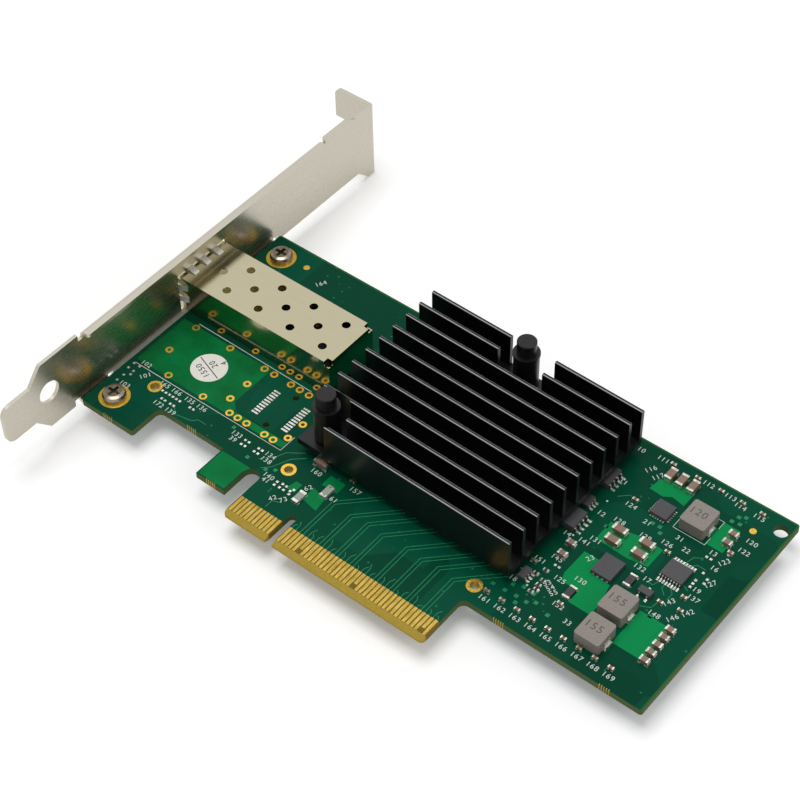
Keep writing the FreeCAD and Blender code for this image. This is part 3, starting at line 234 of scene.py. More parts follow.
def mound():
    """A unit block with sloping sides, for solder that climbs a metal end."""
    deselect()
    bpy.ops.mesh.primitive_cube_add(size=1, location=(0, 0, 0.5))
    piece = bpy.context.object
    bpy.ops.object.transform_apply(location=True)
    for face in piece.data.polygons:
        face.select = face.normal.z > 0.9
    for edge in piece.data.edges:
        edge.select = all(piece.data.vertices[v].co.z > 0.5 for v in edge.vertices)
    for vertex in piece.data.vertices:
        vertex.select = vertex.co.z > 0.5
    bpy.ops.object.mode_set(mode="EDIT")
    bpy.ops.transform.resize(value=(MOUND_TOP, MOUND_TOP, 1))
    bpy.ops.object.mode_set(mode="OBJECT")
    return piece


def loose_boxes(node):
    """The box of each separate solid in a node, lowest and highest corner."""
    mesh = NODES[node].data
    keys = [tuple(round(c * 1e6) for c in vertex.co) for vertex in mesh.vertices]
    parent = {key: key for key in keys}

    def root(key):
        while parent[key] != key:
            parent[key] = parent[parent[key]]
            key = parent[key]
        return key
    for edge in mesh.edges:
        first, second = (root(keys[v]) for v in edge.vertices)
        parent[first] = second
    groups = {}
    for vertex, key in zip(mesh.vertices, keys):
        groups.setdefault(root(key), []).append(vertex.co / MM)
    boxes = []
    for spots in groups.values():
        low = Vector(min(spot[axis] for spot in spots) for axis in range(3))
        high = Vector(max(spot[axis] for spot in spots) for axis in range(3))
        boxes.append((low, high))
    return sorted(boxes, key=lambda box: tuple(box[0]))


# --- materials -----------------------------------------------------------------

# Sockets of a colour Mix node: its share, its two colours and its result.
SHARE, FIRST, SECOND, MIXED = 0, 6, 7, 2


def paint(code):
    """An sRGB hex colour as linear values."""
    channels = (int(code[i:i + 2], 16) / 255 for i in (1, 3, 5))
    linear = [c / 12.92 if c <= 0.04045 else ((c + 0.055) / 1.055) ** 2.4 for c in channels]
    return (*linear, 1.0)


def add(tree, kind, inputs=None, **settings):
    """Add a shader node with its settings, and set or link its inputs."""
    item = tree.nodes.new(kind)
    for name, value in settings.items():
        setattr(item, name, value)
    for socket, value in (inputs or {}).items():
        if isinstance(value, bpy.types.NodeSocket):
            tree.links.new(value, item.inputs[socket])
        else:
            item.inputs[socket].default_value = value
    return item


def new_material(name, looks):
    """A Principled material, with its tree, its shader and object coordinates."""
    material = bpy.data.materials.new(name)
    material.use_nodes = True
    tree = material.node_tree
    tree.nodes.clear()
    shader = add(tree, "ShaderNodeBsdfPrincipled", looks)
    add(tree, "ShaderNodeOutputMaterial", {"Surface": shader.outputs["BSDF"]})
    place = add(tree, "ShaderNodeTexCoord").outputs["Object"]
    return material, tree, shader, place


def grain(tree, place, size_mm, detail=2.0, stretch=(1, 1, 1)):
    """Cloudy noise whose grains have a real size; a low stretch draws them out."""
    spread = add(tree, "ShaderNodeMapping", {"Vector": place, "Scale": stretch})
    noise = add(tree, "ShaderNodeTexNoise", {
        "Vector": spread.outputs["Vector"], "Scale": 1 / (size_mm * MM), "Detail": detail})
    return noise.outputs["Fac"]


def beyond(tree, along, edge_mm, fade_mm=0.1):
    """0 before an edge on the card and 1 beyond it, with a short fade between."""
    step = add(tree, "ShaderNodeMapRange", {
        "Value": along, "From Min": edge_mm * MM, "From Max": (edge_mm + fade_mm) * MM})
    return step.outputs["Result"]


def surface(tree, shader, colour, gloss, rough, relief, depth_mm, strength=1.0):
    """Give a shader its colour, a roughness that follows gloss, and relief."""
    sheen = add(tree, "ShaderNodeMapRange", {
        "Value": gloss, "To Min": rough[0], "To Max": rough[1]})
    bump = add(tree, "ShaderNodeBump", {
        "Height": relief, "Distance": depth_mm * MM, "Strength": strength})
    tree.links.new(colour, shader.inputs["Base Color"])
    tree.links.new(sheen.outputs["Result"], shader.inputs["Roughness"])
    tree.links.new(bump.outputs["Normal"], shader.inputs["Normal"])


def grained(name, light, dark, grain_mm, looks, rough, depth_mm, stretch=(1, 1, 1)):
    """A finish whose colour, gloss and relief vary with one grain."""
    material, tree, shader, place = new_material(name, looks)
    cloud = grain(tree, place, grain_mm, 3.0, stretch)
    share = add(tree, "ShaderNodeMapRange", {"Value": cloud, "From Min": 0.3, "From Max": 0.7})
    colour = add(tree, "ShaderNodeMix", {
        SHARE: share.outputs["Result"], FIRST: paint(dark), SECOND: paint(light)},
        data_type="RGBA")
    surface(tree, shader, colour.outputs[MIXED], share.outputs["Result"], rough, cloud, depth_mm)
    return material


def rolled_metal(name, light, dark, rough, stretch=(1, 1, 1), depth_mm=0.001):
    """Rolled or plated metal: mirror-like, its fine grain drawn out by rolling or wiping.

    The real grain is a few microns across, so it is drawn coarser here."""
    return grained(name, light, dark, 0.35, {"Metallic": 1.0}, rough, depth_mm, stretch)


# Liquid solder mask is a thin clear green ink, with little shine of its own.
MASK_SHEEN = 0.045
COPPER_SHEEN = 0.06
# Width of a field of inner copper, and spacing of the vias closed over by the ink.
PLANE_WIDE = 19.0
VIA_STEP = 1.9
VIA_GROUP = 9.0


def laminate(tree, at, place):
    """Bare glass and resin: sawn edges, the bevelled tip and the gaps between contacts, the gaps
    in painted shade.

    Gives the share that is bare, and its colour."""
    weave = grain(tree, place, 0.5, 2.0, (1, 1, 4))
    sawn = add(tree, "ShaderNodeMix", {
        SHARE: weave, FIRST: paint("#40502f"), SECOND: paint("#5d6b3d")}, data_type="RGBA")
    bevel = add(tree, "ShaderNodeMix", {
        SHARE: weave, FIRST: paint("#9a8232"), SECOND: paint("#b8a046")}, data_type="RGBA")
    normal = add(tree, "ShaderNodeNewGeometry").outputs["Normal"]
    facing = add(tree, "ShaderNodeSeparateXYZ", {"Vector": normal})
    upright = add(tree, "ShaderNodeMath", {0: facing.outputs["Z"], 1: 0.0},
                  operation="ABSOLUTE")
    cut = add(tree, "ShaderNodeMapRange", {
        "Value": upright.outputs[0], "From Min": 0.95, "From Max": 0.90})
    tip = beyond(tree, at.outputs["Y"], CONTACTS_HIGH.y + 0.05, -0.1)
    beside = beyond(tree, at.outputs["X"], CONTACTS_LOW.x - 1.5)
    at_tip = add(tree, "ShaderNodeMath", {0: tip, 1: beside}, operation="MULTIPLY")
    bare = add(tree, "ShaderNodeMath", {0: cut.outputs["Result"], 1: at_tip.outputs[0]},
               operation="MAXIMUM")
    # painted shade: the laminate between the contacts is painted darker than the bevel at the tip
    contact_gaps_in_painted_shade = add(tree, "ShaderNodeMix", {
        SHARE: beyond(tree, at.outputs["Y"], CONTACTS_LOW.y - 0.05),
        FIRST: bevel.outputs[MIXED], SECOND: paint("#79642a")}, data_type="RGBA")
    colour = add(tree, "ShaderNodeMix", {
        SHARE: at_tip.outputs[0], FIRST: sawn.outputs[MIXED], SECOND: contact_gaps_in_painted_shade.outputs[MIXED]},
        data_type="RGBA")
    return bare.outputs[0], colour.outputs[MIXED]


def solder_mask():
    """Liquid solder mask over laminate: glossy green ink over inner copper planes.

    The card's edges and the connector's tip are cut laminate, with no ink."""
    material, tree, shader, place = new_material("solder_mask_on_laminate", {
        "Specular IOR Level": MASK_SHEEN})
    at = add(tree, "ShaderNodeSeparateXYZ", {"Vector": place})
    # inner planes, seen through the ink as straight-sided darker fields
    plane = add(tree, "ShaderNodeTexVoronoi", {
        "Vector": place, "Scale": 1 / (PLANE_WIDE * MM), "Randomness": 0.8},
        distance="CHEBYCHEV")
    tone = add(tree, "ShaderNodeSeparateColor", {"Color": plane.outputs["Color"]})
    ink = add(tree, "ShaderNodeMix", {
        SHARE: tone.outputs[0], FIRST: paint("#033f2c"), SECOND: paint("#064f39")},
        data_type="RGBA")
    # vias closed over by the ink, in loose groups
    dots = add(tree, "ShaderNodeTexVoronoi", {
        "Vector": place, "Scale": 1 / (VIA_STEP * MM), "Randomness": 0.55})
    dot = add(tree, "ShaderNodeMapRange", {
        "Value": dots.outputs["Distance"], "From Min": 0.15, "From Max": 0.11})
    group = add(tree, "ShaderNodeMapRange", {
        "Value": grain(tree, place, VIA_GROUP, 0.0), "From Min": 0.56, "From Max": 0.60})
    via = add(tree, "ShaderNodeMath", {0: dot.outputs["Result"], 1: group.outputs["Result"]},
              operation="MULTIPLY")
    faint = add(tree, "ShaderNodeMath", {0: via.outputs[0], 1: 0.4}, operation="MULTIPLY")
    ink = add(tree, "ShaderNodeMix", {
        SHARE: faint.outputs[0], FIRST: ink.outputs[MIXED], SECOND: paint("#3f9b73")},
        data_type="RGBA")
    # a band with no inner copper along the card's edges
    far = beyond(tree, at.outputs["X"], BOARD_HIGH.x - BARE_RIM)
    upper = beyond(tree, at.outputs["Y"], BOARD_HIGH.y - BARE_RIM)
    rim = add(tree, "ShaderNodeMath", {0: far, 1: upper}, operation="MAXIMUM")
    clear = add(tree, "ShaderNodeMath", {0: rim.outputs[0], 1: 0.7}, operation="MULTIPLY")
    ink = add(tree, "ShaderNodeMix", {
        SHARE: clear.outputs[0], FIRST: ink.outputs[MIXED], SECOND: paint("#3d6a35")},
        data_type="RGBA")
    bare, glass = laminate(tree, at, place)
    colour = add(tree, "ShaderNodeMix", {
        SHARE: bare, FIRST: ink.outputs[MIXED], SECOND: glass}, data_type="RGBA")
    surface(tree, shader, colour.outputs[MIXED], bare, (0.24, 0.6),
            grain(tree, place, 0.8, 3.0), 0.012, 0.6)
    return material


def mask_over_copper():
    """Solder mask over outer copper: the same ink, brighter where metal lies under it."""
    material, tree, shader, place = new_material("mask_over_copper", {
        "Specular IOR Level": COPPER_SHEEN})
    cloud = add(tree, "ShaderNodeMapRange", {
        "Value": grain(tree, place, 6.0), "From Min": 0.35, "From Max": 0.65})
    at = add(tree, "ShaderNodeSeparateXYZ", {"Vector": place})
    # the fields by the regulators are brighter than those by the bracket
    brighter = beyond(tree, at.outputs["X"], -25, 75)
    share = add(tree, "ShaderNodeMath", {0: cloud.outputs["Result"], 1: 0.35, 2: brighter},
                operation="MULTIPLY_ADD")
    colour = add(tree, "ShaderNodeMix", {
        SHARE: share.outputs[0], FIRST: paint("#03602e"), SECOND: paint("#068a4c")},
        data_type="RGBA")
    surface(tree, shader, colour.outputs[MIXED], grain(tree, place, 1.2), (0.22, 0.34),
            grain(tree, place, 0.7, 3.0), 0.01, 0.6)
    return material


# How far down its slopes the edge of a fin gets a painted highlight, and the fade below that.
PAINTED_HIGHLIGHT_REACH = 0.12
PAINTED_HIGHLIGHT_FADE = 0.08


def anodised_extrusion():
    """Black anodised aluminium: near black, with its drawn lines along the fins.

    A painted highlight makes the upper part of the fins' sloped edges paler than the dyed faces."""
    material, tree, shader, place = new_material("black_anodised_aluminium", {
        "Specular IOR Level": 0.35})
    drawn = grain(tree, place, 0.35, 3.0, (0.04, 1, 1))
    dye = add(tree, "ShaderNodeMix", {
        SHARE: drawn, FIRST: paint("#050407"), SECOND: paint("#08070a")}, data_type="RGBA")
    # painted highlight: the upward-leaning slopes near the top of each fin are painted pale grey
    normal = add(tree, "ShaderNodeNewGeometry").outputs["Normal"]
    facing = add(tree, "ShaderNodeSeparateXYZ", {"Vector": normal})
    upward = add(tree, "ShaderNodeMapRange", {
        "Value": facing.outputs["Z"], "From Min": 0.3, "From Max": 0.5})
    leaning = add(tree, "ShaderNodeMapRange", {
        "Value": facing.outputs["Z"], "From Min": 0.95, "From Max": 0.85})
    slope = add(tree, "ShaderNodeMath", {
        0: upward.outputs["Result"], 1: leaning.outputs["Result"]}, operation="MULTIPLY")
    at = add(tree, "ShaderNodeSeparateXYZ", {"Vector": place})
    painted_highlight = beyond(tree, at.outputs["Z"], SINK_HIGH.z - PAINTED_HIGHLIGHT_REACH - PAINTED_HIGHLIGHT_FADE / 2, PAINTED_HIGHLIGHT_FADE)
    share = add(tree, "ShaderNodeMath", {0: slope.outputs[0], 1: painted_highlight}, operation="MULTIPLY")
    edge = add(tree, "ShaderNodeMix", {
        SHARE: grain(tree, place, 6.0, 2.0, (0.2, 1, 1)), FIRST: paint("#a3a2a8"),
        SECOND: paint("#d6d5dc")}, data_type="RGBA")
    colour = add(tree, "ShaderNodeMix", {
        SHARE: share.outputs[0], FIRST: dye.outputs[MIXED], SECOND: edge.outputs[MIXED]},
        data_type="RGBA")
    surface(tree, shader, colour.outputs[MIXED], drawn, (0.24, 0.36), drawn, 0.003)
    return material


BOARD_MASK = solder_mask()
COPPER_MASK = mask_over_copper()
# the same ink over a narrow track: a light green line
TRACK_MASK = grained("mask_over_track", "#1f8a5c", "#157a50", 0.6,
                     {"Specular IOR Level": 0.25}, (0.25, 0.35), 0.006)

# nickel-plated steel sheet, rolled along the bracket: it blurs what it mirrors
BRACKET_STEEL = rolled_metal("nickel_plated_steel", "#c1bcae", "#c0bbad", (0.27, 0.28),
                             (1, 0.05, 1), 0.00006)
# nickel-plated copper alloy: warmer than the bracket, and a clearer mirror
CAGE_ALLOY = rolled_metal("nickel_plated_cage", "#c1b99d", "#beb699", (0.12, 0.15),
                          (0.06, 1, 1), 0.0003)
# stainless strip as it was rolled: pale, with a soft sheen
SPRING_STEEL = rolled_metal("stainless_spring_strip", "#e0e0dc", "#cfcfca", (0.34, 0.42),
                            (0.1, 1, 1))
# headed and plated screws: greyer, with no drag lines
SCREW_STEEL = rolled_metal("nickel_plated_screw", "#a0978a", "#7d7569", (0.2, 0.32))
# hard gold over nickel: satin, worn a little duller where a socket has wiped it
HARD_GOLD = rolled_metal("hard_gold", "#b39a4e", "#9c8136", (0.22, 0.38), (1, 0.15, 1), 0.002)
# immersion gold on rings and lands: a thin, deeper yellow over etched copper
RING_GOLD = rolled_metal("immersion_gold", "#dcb850", "#c8a03e", (0.25, 0.4), (1, 1, 1), 0.004)
# reflowed solder and tinned ends: bright, with soft dimples
TIN = grained("reflowed_solder", "#dedcd6", "#aaa8a1", 0.5, {"Metallic": 1.0}, (0.22, 0.42),
              0.03)

ANODISED = anodised_extrusion()
# moulded nylon: black, with a dull shine
NYLON = grained("moulded_black_nylon", "#100f12", "#0a090c", 0.6, {"Specular IOR Level": 0.3},
                (0.30, 0.42), 0.008)
# transfer-moulded epoxy: dark grey, with a fine matt texture
EPOXY = grained("moulded_epoxy", "#4d4d50", "#414144", 0.25, {"Specular IOR Level": 0.35},
                (0.5, 0.65), 0.015)
# pressed metal powder under a thin lacquer: warm grey and slightly grainy
PRESSED_CORE = grained("pressed_powder_core", "#928b83", "#827b74", 0.22,
                       {"Specular IOR Level": 0.35}, (0.45, 0.6), 0.02)
# fired ceramic of the larger capacitors: smooth reddish brown
CERAMIC = grained("fired_ceramic", "#8f7565", "#7c6455", 0.5, {"Specular IOR Level": 0.4},
                  (0.35, 0.5), 0.01)
# fired ceramic of the smallest capacitors: a yellower brown
SMALL_CERAMIC = grained("fired_small_ceramic", "#86683f", "#6c5230", 0.5,
                        {"Specular IOR Level": 0.4}, (0.35, 0.5), 0.01)
# glass glaze over the resistors: black and fairly glossy
GLAZE = grained("resistor_glaze", "#2b2b2d", "#1d1d1f", 0.4, {"Specular IOR Level": 0.5},
                (0.25, 0.4), 0.01)
# alumina of the fuses: pale, greenish grey and matt
FUSE_CERAMIC = grained("alumina_body", "#aab0a4", "#8d9389", 0.4, {"Specular IOR Level": 0.4},
                       (0.4, 0.5), 0.01)
# laminate of the controller's package: dark green, under the sink
PACKAGE_LAMINATE = grained("package_laminate", "#0f4a35", "#0b3d2c", 0.8,
                           {"Specular IOR Level": 0.4}, (0.35, 0.45), 0.01)
# polished silicon: a grey mirror
SILICON = grained("polished_silicon", "#4a4d52", "#3e4146", 2.0, {"Metallic": 0.6}, (0.1, 0.2),
                  0.001)
# filled silicone pad: matt grey
THERMAL_PAD = grained("thermal_paste_pad", "#9a9ca0", "#8b8d90", 0.6,
                      {"Specular IOR Level": 0.3}, (0.6, 0.7), 0.02)
# coated paper: a warm, matt white
PAPER = grained("coated_paper", "#e8e6df", "#dfddd5", 0.5, {"Specular IOR Level": 0.2},
                (0.5, 0.6), 0.006)
# epoxy marking ink: off-white and matt, a little uneven
INK_WHITE = grained("epoxy_marking_ink", "#dfe3dd", "#bfc8bf", 0.4,
                    {"Specular IOR Level": 0.25}, (0.5, 0.65), 0.012)
# black printing ink on the paper label
INK_DARK = grained("dark_marking", "#2b2a2c", "#1f1e20", 0.3, {"Specular IOR Level": 0.2},
                   (0.5, 0.65), 0.004)
# figures sunk in the inductors' tops: only their shade shows
SUNK_MARK = grained("sunk_figure", "#645f5a", "#57534e", 0.3, {"Specular IOR Level": 0.2},
                    (0.5, 0.65), 0.004)
# laser marking on the packages: burnt a little paler than the epoxy
LASER_MARK = grained("laser_mark", "#5b5c5f", "#505154", 0.3, {"Specular IOR Level": 0.2},
                     (0.6, 0.7), 0.004)

NODE_FINISH = {
    "circuit_board": BOARD_MASK,
    "edge_contacts_top": HARD_GOLD, "edge_contacts_bottom": HARD_GOLD,
    "bracket": BRACKET_STEEL,
    "bracket_screw_lower": SCREW_STEEL, "bracket_screw_upper": SCREW_STEEL,
    "port_cage": CAGE_ALLOY, "port_springs": SPRING_STEEL,
    "port_connector": NYLON, "port_contacts": HARD_GOLD,
    "controller_package": PACKAGE_LAMINATE, "controller_die": SILICON,
    "thermal_pad": THERMAL_PAD, "heat_sink": ANODISED,
    "push_pin_front": NYLON, "push_pin_rear": NYLON,
    "pin_spring_front": SPRING_STEEL, "pin_spring_rear": SPRING_STEEL,
    "inductor_a_core": PRESSED_CORE, "inductor_b_core": PRESSED_CORE,
    "inductor_c_core": PRESSED_CORE, "inductor_terminals": TIN,
    "capacitor_bodies": CERAMIC, "capacitor_ends": TIN,
    "small_capacitor_bodies": SMALL_CERAMIC, "small_capacitor_ends": TIN,
    "resistor_bodies": GLAZE, "resistor_ends": TIN,
    "fuse_bodies": FUSE_CERAMIC, "fuse_ends": TIN,
    "regulator_package": EPOXY, "power_stage_package": EPOXY, "power_stage_terminals": TIN,
    "round_label": PAPER,
}
for node_name, solid in NODES.items():
    # the other nodes are packages and their leads
    finish = NODE_FINISH.get(node_name, TIN if node_name.endswith("_leads") else EPOXY)
    for material_slot in solid.material_slots:
        material_slot.material = finish


# --- copper under the mask -------------------------------------------------------

# The small lower arm with copper on it, and the edge that the arms hang from.
HOOK_LOW = 4.4
HOOK_LEFT = -12.0
HOOK_RIGHT = -4.35
ARM_EDGE = 12.8
# Copper keeps this far from the board's cut edges.
EDGE_GAP = 0.3

COPPER_FIELDS = (
    # the empty port, with a corner left clear for its connector
    ((BOARD_LOW.x + 1.0, 20.4), (-17.2, 20.4), (-17.2, 22.4), (-18.9, 24.0), (-18.9, 35.6),
     (BOARD_LOW.x + 1.0, 35.6)),
    rectangle(-17.0, 20.3, -2.6, 22.0),
    # the small arm beside the connector
    ((HOOK_LEFT + EDGE_GAP, HOOK_LOW + EDGE_GAP), (HOOK_RIGHT - EDGE_GAP, HOOK_LOW + EDGE_GAP),
     (HOOK_RIGHT - EDGE_GAP, ARM_EDGE - 2.4), (HOOK_RIGHT + 0.4, ARM_EDGE - 0.6),
     (HOOK_LEFT + EDGE_GAP, ARM_EDGE - 0.6)),
    # at the fuses
    ((9.9, 12.6), (13.9, 11.9), (13.5, 15.4), (9.7, 16.3)),
    rectangle(10.4, 17.9, 14.4, 20.9),
    ((5.2, 12.8), (7.4, 12.8), (7.4, 15.4), (5.8, 15.4)),
    # beside the power stage and the two lower inductors
    ((62.5, 30.2), (63.2, 28.2), (67.3, 28.2), (67.3, 24.9), (72.4, 24.9), (72.4, 28.4),
     (71.3, 33.2), (66.4, 33.3), (66.4, 37.0), (62.6, 37.0)),
    rectangle(79.4, 22.2, 86.6, 31.8),
    # under the capacitors by the power stage
    ((62.4, 41.0), (70.1, 40.7), (74.6, 41.4), (74.6, 46.8), (68.6, 46.8), (66.9, 46.4),
     (62.4, 46.4)),
    # at the upper regulator and its inductor
    ((63.5, 58.4), (63.9, 61.8), (66.9, 63.2), (71.6, 63.2), (71.6, 58.7), (68.5, 59.3),
     (66.8, 58.2)),
    rectangle(80.2, 53.4, 84.2, 60.2),
)
copper = cut_sheets(COPPER_FIELDS, BOARD_HIGH.z, MASK_STEP)
settle(copper, "copper_fields", COPPER_MASK)

# small square lands under the mask, over vias
SQUARE_HALF = 0.42
COVERED_VIAS = (
    (53.1, 19.5), (55.9, 19.6), (56.3, 21.7), (58.5, 19.8), (58.4, 22.5), (60.9, 19.8),
    (60.9, 22.3), (62.5, 20.8), (59.3, 18.4), (66.0, 19.8), (81.7, 31.8), (81.9, 63.1),
    (83.0, 61.7), (83.1, 63.9), (81.3, 61.4), (69.1, 51.2), (70.8, 51.3), (62.3, 44.8),
    (71.7, 50.0), (-1.3, 13.9), (0.4, 15.0), (-6.5, 14.1), (-14.2, 18.5),
)
covered = cut_sheets([square(x, y, SQUARE_HALF) for x, y in COVERED_VIAS], BOARD_HIGH.z,
                     MASK_STEP)
settle(covered, "covered_vias", TRACK_MASK)


# --- tracks ----------------------------------------------------------------------

TRACK_WIDE = 0.22
# How far in under a contact's end a track starts.
TRACK_UNDER = 0.1
# Half the distance between a pair's tracks, the middles of the two contacts that each
# pair starts from, and where the pairs turn.
PAIR_HALF = 0.42
PAIR_MIDDLES = (15.5, 20.5, 24.5, 28.5, 34.5, 38.5, 42.5, 46.5)
FAN_TURN = 15.8
# Every second pair turns a little lower. Where a pair turns, one of its tracks turns
# first, which keeps the distance between them.
TURN_STAGGER = 0.5
TURN_LEAD = 0.4
# A pair starts wider than it runs on, and has closed up this far past the contacts.
PAIR_START = 1.2
PAIR_CLOSED = 0.9
# How far the tracks run in under the sink.
UNDER_SINK = 2.0


def pair_paths():
    """Differential pairs: straight up from their contacts, then slanting together."""
    paths = []
    under = SINK_LOW.y + UNDER_SINK
    for step, x in enumerate(PAIR_MIDDLES):
        turn_at = FAN_TURN - TURN_STAGGER * (step % 2)
        for side in (-PAIR_HALF, PAIR_HALF):
            paths.append((
                (x + side * PAIR_START, CONTACTS_HIGH.y - TRACK_UNDER),
                (x + side, CONTACTS_HIGH.y + PAIR_CLOSED),
                (x + side, turn_at - side * TURN_LEAD),
                (x + side + under - turn_at, under - side * TURN_LEAD),
            ))
    return paths


# The other contacts beyond the key have short tracks to their vias. The first and last
# are counted in contacts; the straight part is a share of a track's reach.
SHORT_FIRST = 13
SHORT_LAST = 50
SHORT_LEAST = 1.0
SHORT_STEP = 0.45
SHORT_LEAN = 0.5
SHORT_STRAIGHT = 0.6
CONTACT_PITCH = 1.0


def short_tracks():
    """Short tracks from the other contacts to their vias, of uneven lengths."""
    paths = []
    for x in range(SHORT_FIRST, SHORT_LAST + 1):
        if min(abs(x - middle) for middle in PAIR_MIDDLES) < CONTACT_PITCH:
            continue
        reach = SHORT_LEAST + (x * 7 % 5) * SHORT_STEP
        lean = SHORT_LEAN if x % 2 else -SHORT_LEAN
        paths.append(((x, CONTACTS_HIGH.y - TRACK_UNDER),
                      (x, CONTACTS_HIGH.y + reach * SHORT_STRAIGHT),
                      (x + lean, CONTACTS_HIGH.y + reach)))
    return paths


# Tracks that show round the driver, the memory packages and the lower arms.
CARD_TRACKS = (
    ((79.9, 46.9), (80.4, 49.0), (82.0, 50.0)),
    ((81.2, 46.9), (82.0, 47.8), (84.0, 47.8)),
    ((82.5, 42.0), (84.0, 41.4)),
    ((78.4, 40.0), (77.8, 38.4), (76.6, 38.4)),
    ((79.6, 40.0), (79.6, 38.9), (81.0, 37.6)),
    ((80.9, 40.0), (82.0, 38.9), (82.0, 37.0)),
    ((78.6, 32.6), (80.6, 33.6), (81.0, 35.6)),
    ((59.6, 52.6), (61.4, 54.4), (64.0, 54.4)),
    ((-2.4, 13.6), (-0.8, 15.2), (1.0, 19.2), (3.4, 21.4)),
    ((-4.4, 15.2), (-2.0, 17.6), (-1.0, 19.9), (2.4, 22.4)),
    ((-28.0, 15.0), (-26.4, 13.6), (-22.4, 14.4), (-21.6, 15.4), (-19.4, 15.4)),
    ((3.0, 9.6), (3.0, 11.0)),
    ((5.2, 6.4), (5.2, 8.4), (7.0, 9.2)),
)
tracks = draw_lines(pair_paths() + short_tracks() + list(CARD_TRACKS), TRACK_WIDE,
                    BOARD_HIGH.z, TRACK_STEP)
settle(tracks, "signal_tracks", TRACK_MASK)


# --- plated holes ----------------------------------------------------------------

# The cage's pin holes: back from its rear, in the two rows beside its middle.
NEAR_ROW = (31.25, 21.2, 13.6, 11.3, 8.8, 3.8, 1.4)
FAR_ROW = (36.25, 26.15, 16.2, 13.45, 8.7, 6.2, 3.65)
ROW_HALF = 7.075
# Radii of the holes and of their rings.
PIN_HOLE = 0.47
PIN_RING = 0.9
SPARE_HOLE = 0.4
SCREW_HOLE = 1.7
SCREW_LAND = 3.45
SCREW_LAND_STEP = 0.02
TOOLING_SIDES = 40
SCREW_LAND_SIDES = 48
# The tooling holes: place along the board, radius of the hole and radius of its ring.
TOOLING_Y = 16.75
TOOLING_HOLES = (
    ("tooling_ring_key", 2.5, 0.96, 1.65),
    ("tooling_ring_end", 50.6, 0.96, 1.7),
    ("tooling_ring_arm", -35.3, 1.05, 1.65),
)


def ring_places():
    """Places of the pin holes of the caged port and of the empty one."""
    places = []
    for port in (PORT_Y, EMPTY_PORT_Y):
        places += [(CAGE_REAR - back, port - ROW_HALF) for back in NEAR_ROW]
        places += [(CAGE_REAR - back, port + ROW_HALF) for back in FAR_ROW]
    return [(x, y, MID_BOARD) for x, y in places]


pin_rings = copies(eyelet(PIN_HOLE, PIN_RING, PLATE_STEP, BOARD_THICK), ring_places())
settle(pin_rings, "pin_hole_rings", RING_GOLD)

# holes for pegs at the empty port: back from a cage's rear and across from its middle
SPARE_SPOTS = ((36.3, -1.43), (16.2, 1.44), (16.25, -3.9), (-0.75, -4.8), (-0.75, -0.05))
spare_rings = copies(eyelet(SPARE_HOLE, PIN_RING, PLATE_STEP, BOARD_THICK),
                     [(CAGE_REAR - back, EMPTY_PORT_Y + across, MID_BOARD)
                      for back, across in SPARE_SPOTS])
settle(spare_rings, "spare_rings", RING_GOLD)

for name, x, hole, ring in TOOLING_HOLES:
    tooling_ring = copies(eyelet(hole, ring, PLATE_STEP, BOARD_THICK, TOOLING_SIDES),
                          [(x, TOOLING_Y, MID_BOARD)])
    settle(tooling_ring, name, RING_GOLD)

for name in ("lower", "upper"):
    low, high = box_mm(f"bracket_screw_{name}")
    screw_land = copies(
        eyelet(SCREW_HOLE, SCREW_LAND, SCREW_LAND_STEP, SCREW_LAND_STEP, SCREW_LAND_SIDES),
        [((low.x + high.x) / 2, (low.y + high.y) / 2, BOARD_HIGH.z)])
    settle(screw_land, f"screw_land_{name}", RING_GOLD)


def round_outline(x, y, radius, sides):
    """Points evenly round a circle."""
    return tuple((x + radius * math.cos(math.tau * step / sides),
                  y + radius * math.sin(math.tau * step / sides)) for step in range(sides))


DOT_SIDES = 20
FIDUCIAL = 0.75


def dots(name, places, radius, material, slot, thick=PLATE_STEP):
    """Flat round lands or printed dots on the board."""
    outlines = [round_outline(x, y, radius, DOT_SIDES) for x, y in places]
    settle(cut_sheets(outlines, BOARD_HIGH.z, thick), name, material)


dots("fiducials", ((86.0, 61.8), (-33.5, 64.4)), FIDUCIAL, RING_GOLD, "contact_gold")


# --- solder and bare lands --------------------------------------------------------

# How far solder spreads past each end of a part, and the share of its height it climbs.
FILLETS = (
    ("capacitor_ends", 0.22, 0.5),
    ("small_capacitor_ends", 0.1, 0.4),
    ("resistor_ends", 0.2, 0.6),
    ("fuse_ends", 0.15, 0.5),
    ("inductor_terminals", 0.5, 0.4),
)
# Solder spreads less up the board than along it.
SIDE_SPREAD = 0.6


def solder_fillets():
    """Solder that climbs the metal ends of the chip parts and inductors."""
    spots = []
    scales = []
    for node, spread, climb in FILLETS:
        for low, high in loose_boxes(node):
            middle = (low + high) / 2
            span = high - low
            spots.append((middle.x, middle.y, BOARD_HIGH.z))
            scales.append(((span.x + spread * 2) * MM,
                           (span.y + spread * 2 * SIDE_SPREAD) * MM, span.z * climb * MM))
    return copies(mound(), spots, scales)


settle(solder_fillets(), "solder_fillets", TIN)

# A lead's land: in under its toe, out beyond it, and past it on each side.
TOE_UNDER = 0.75
TOE_BEYOND = 0.35
TOE_BESIDE = 0.08


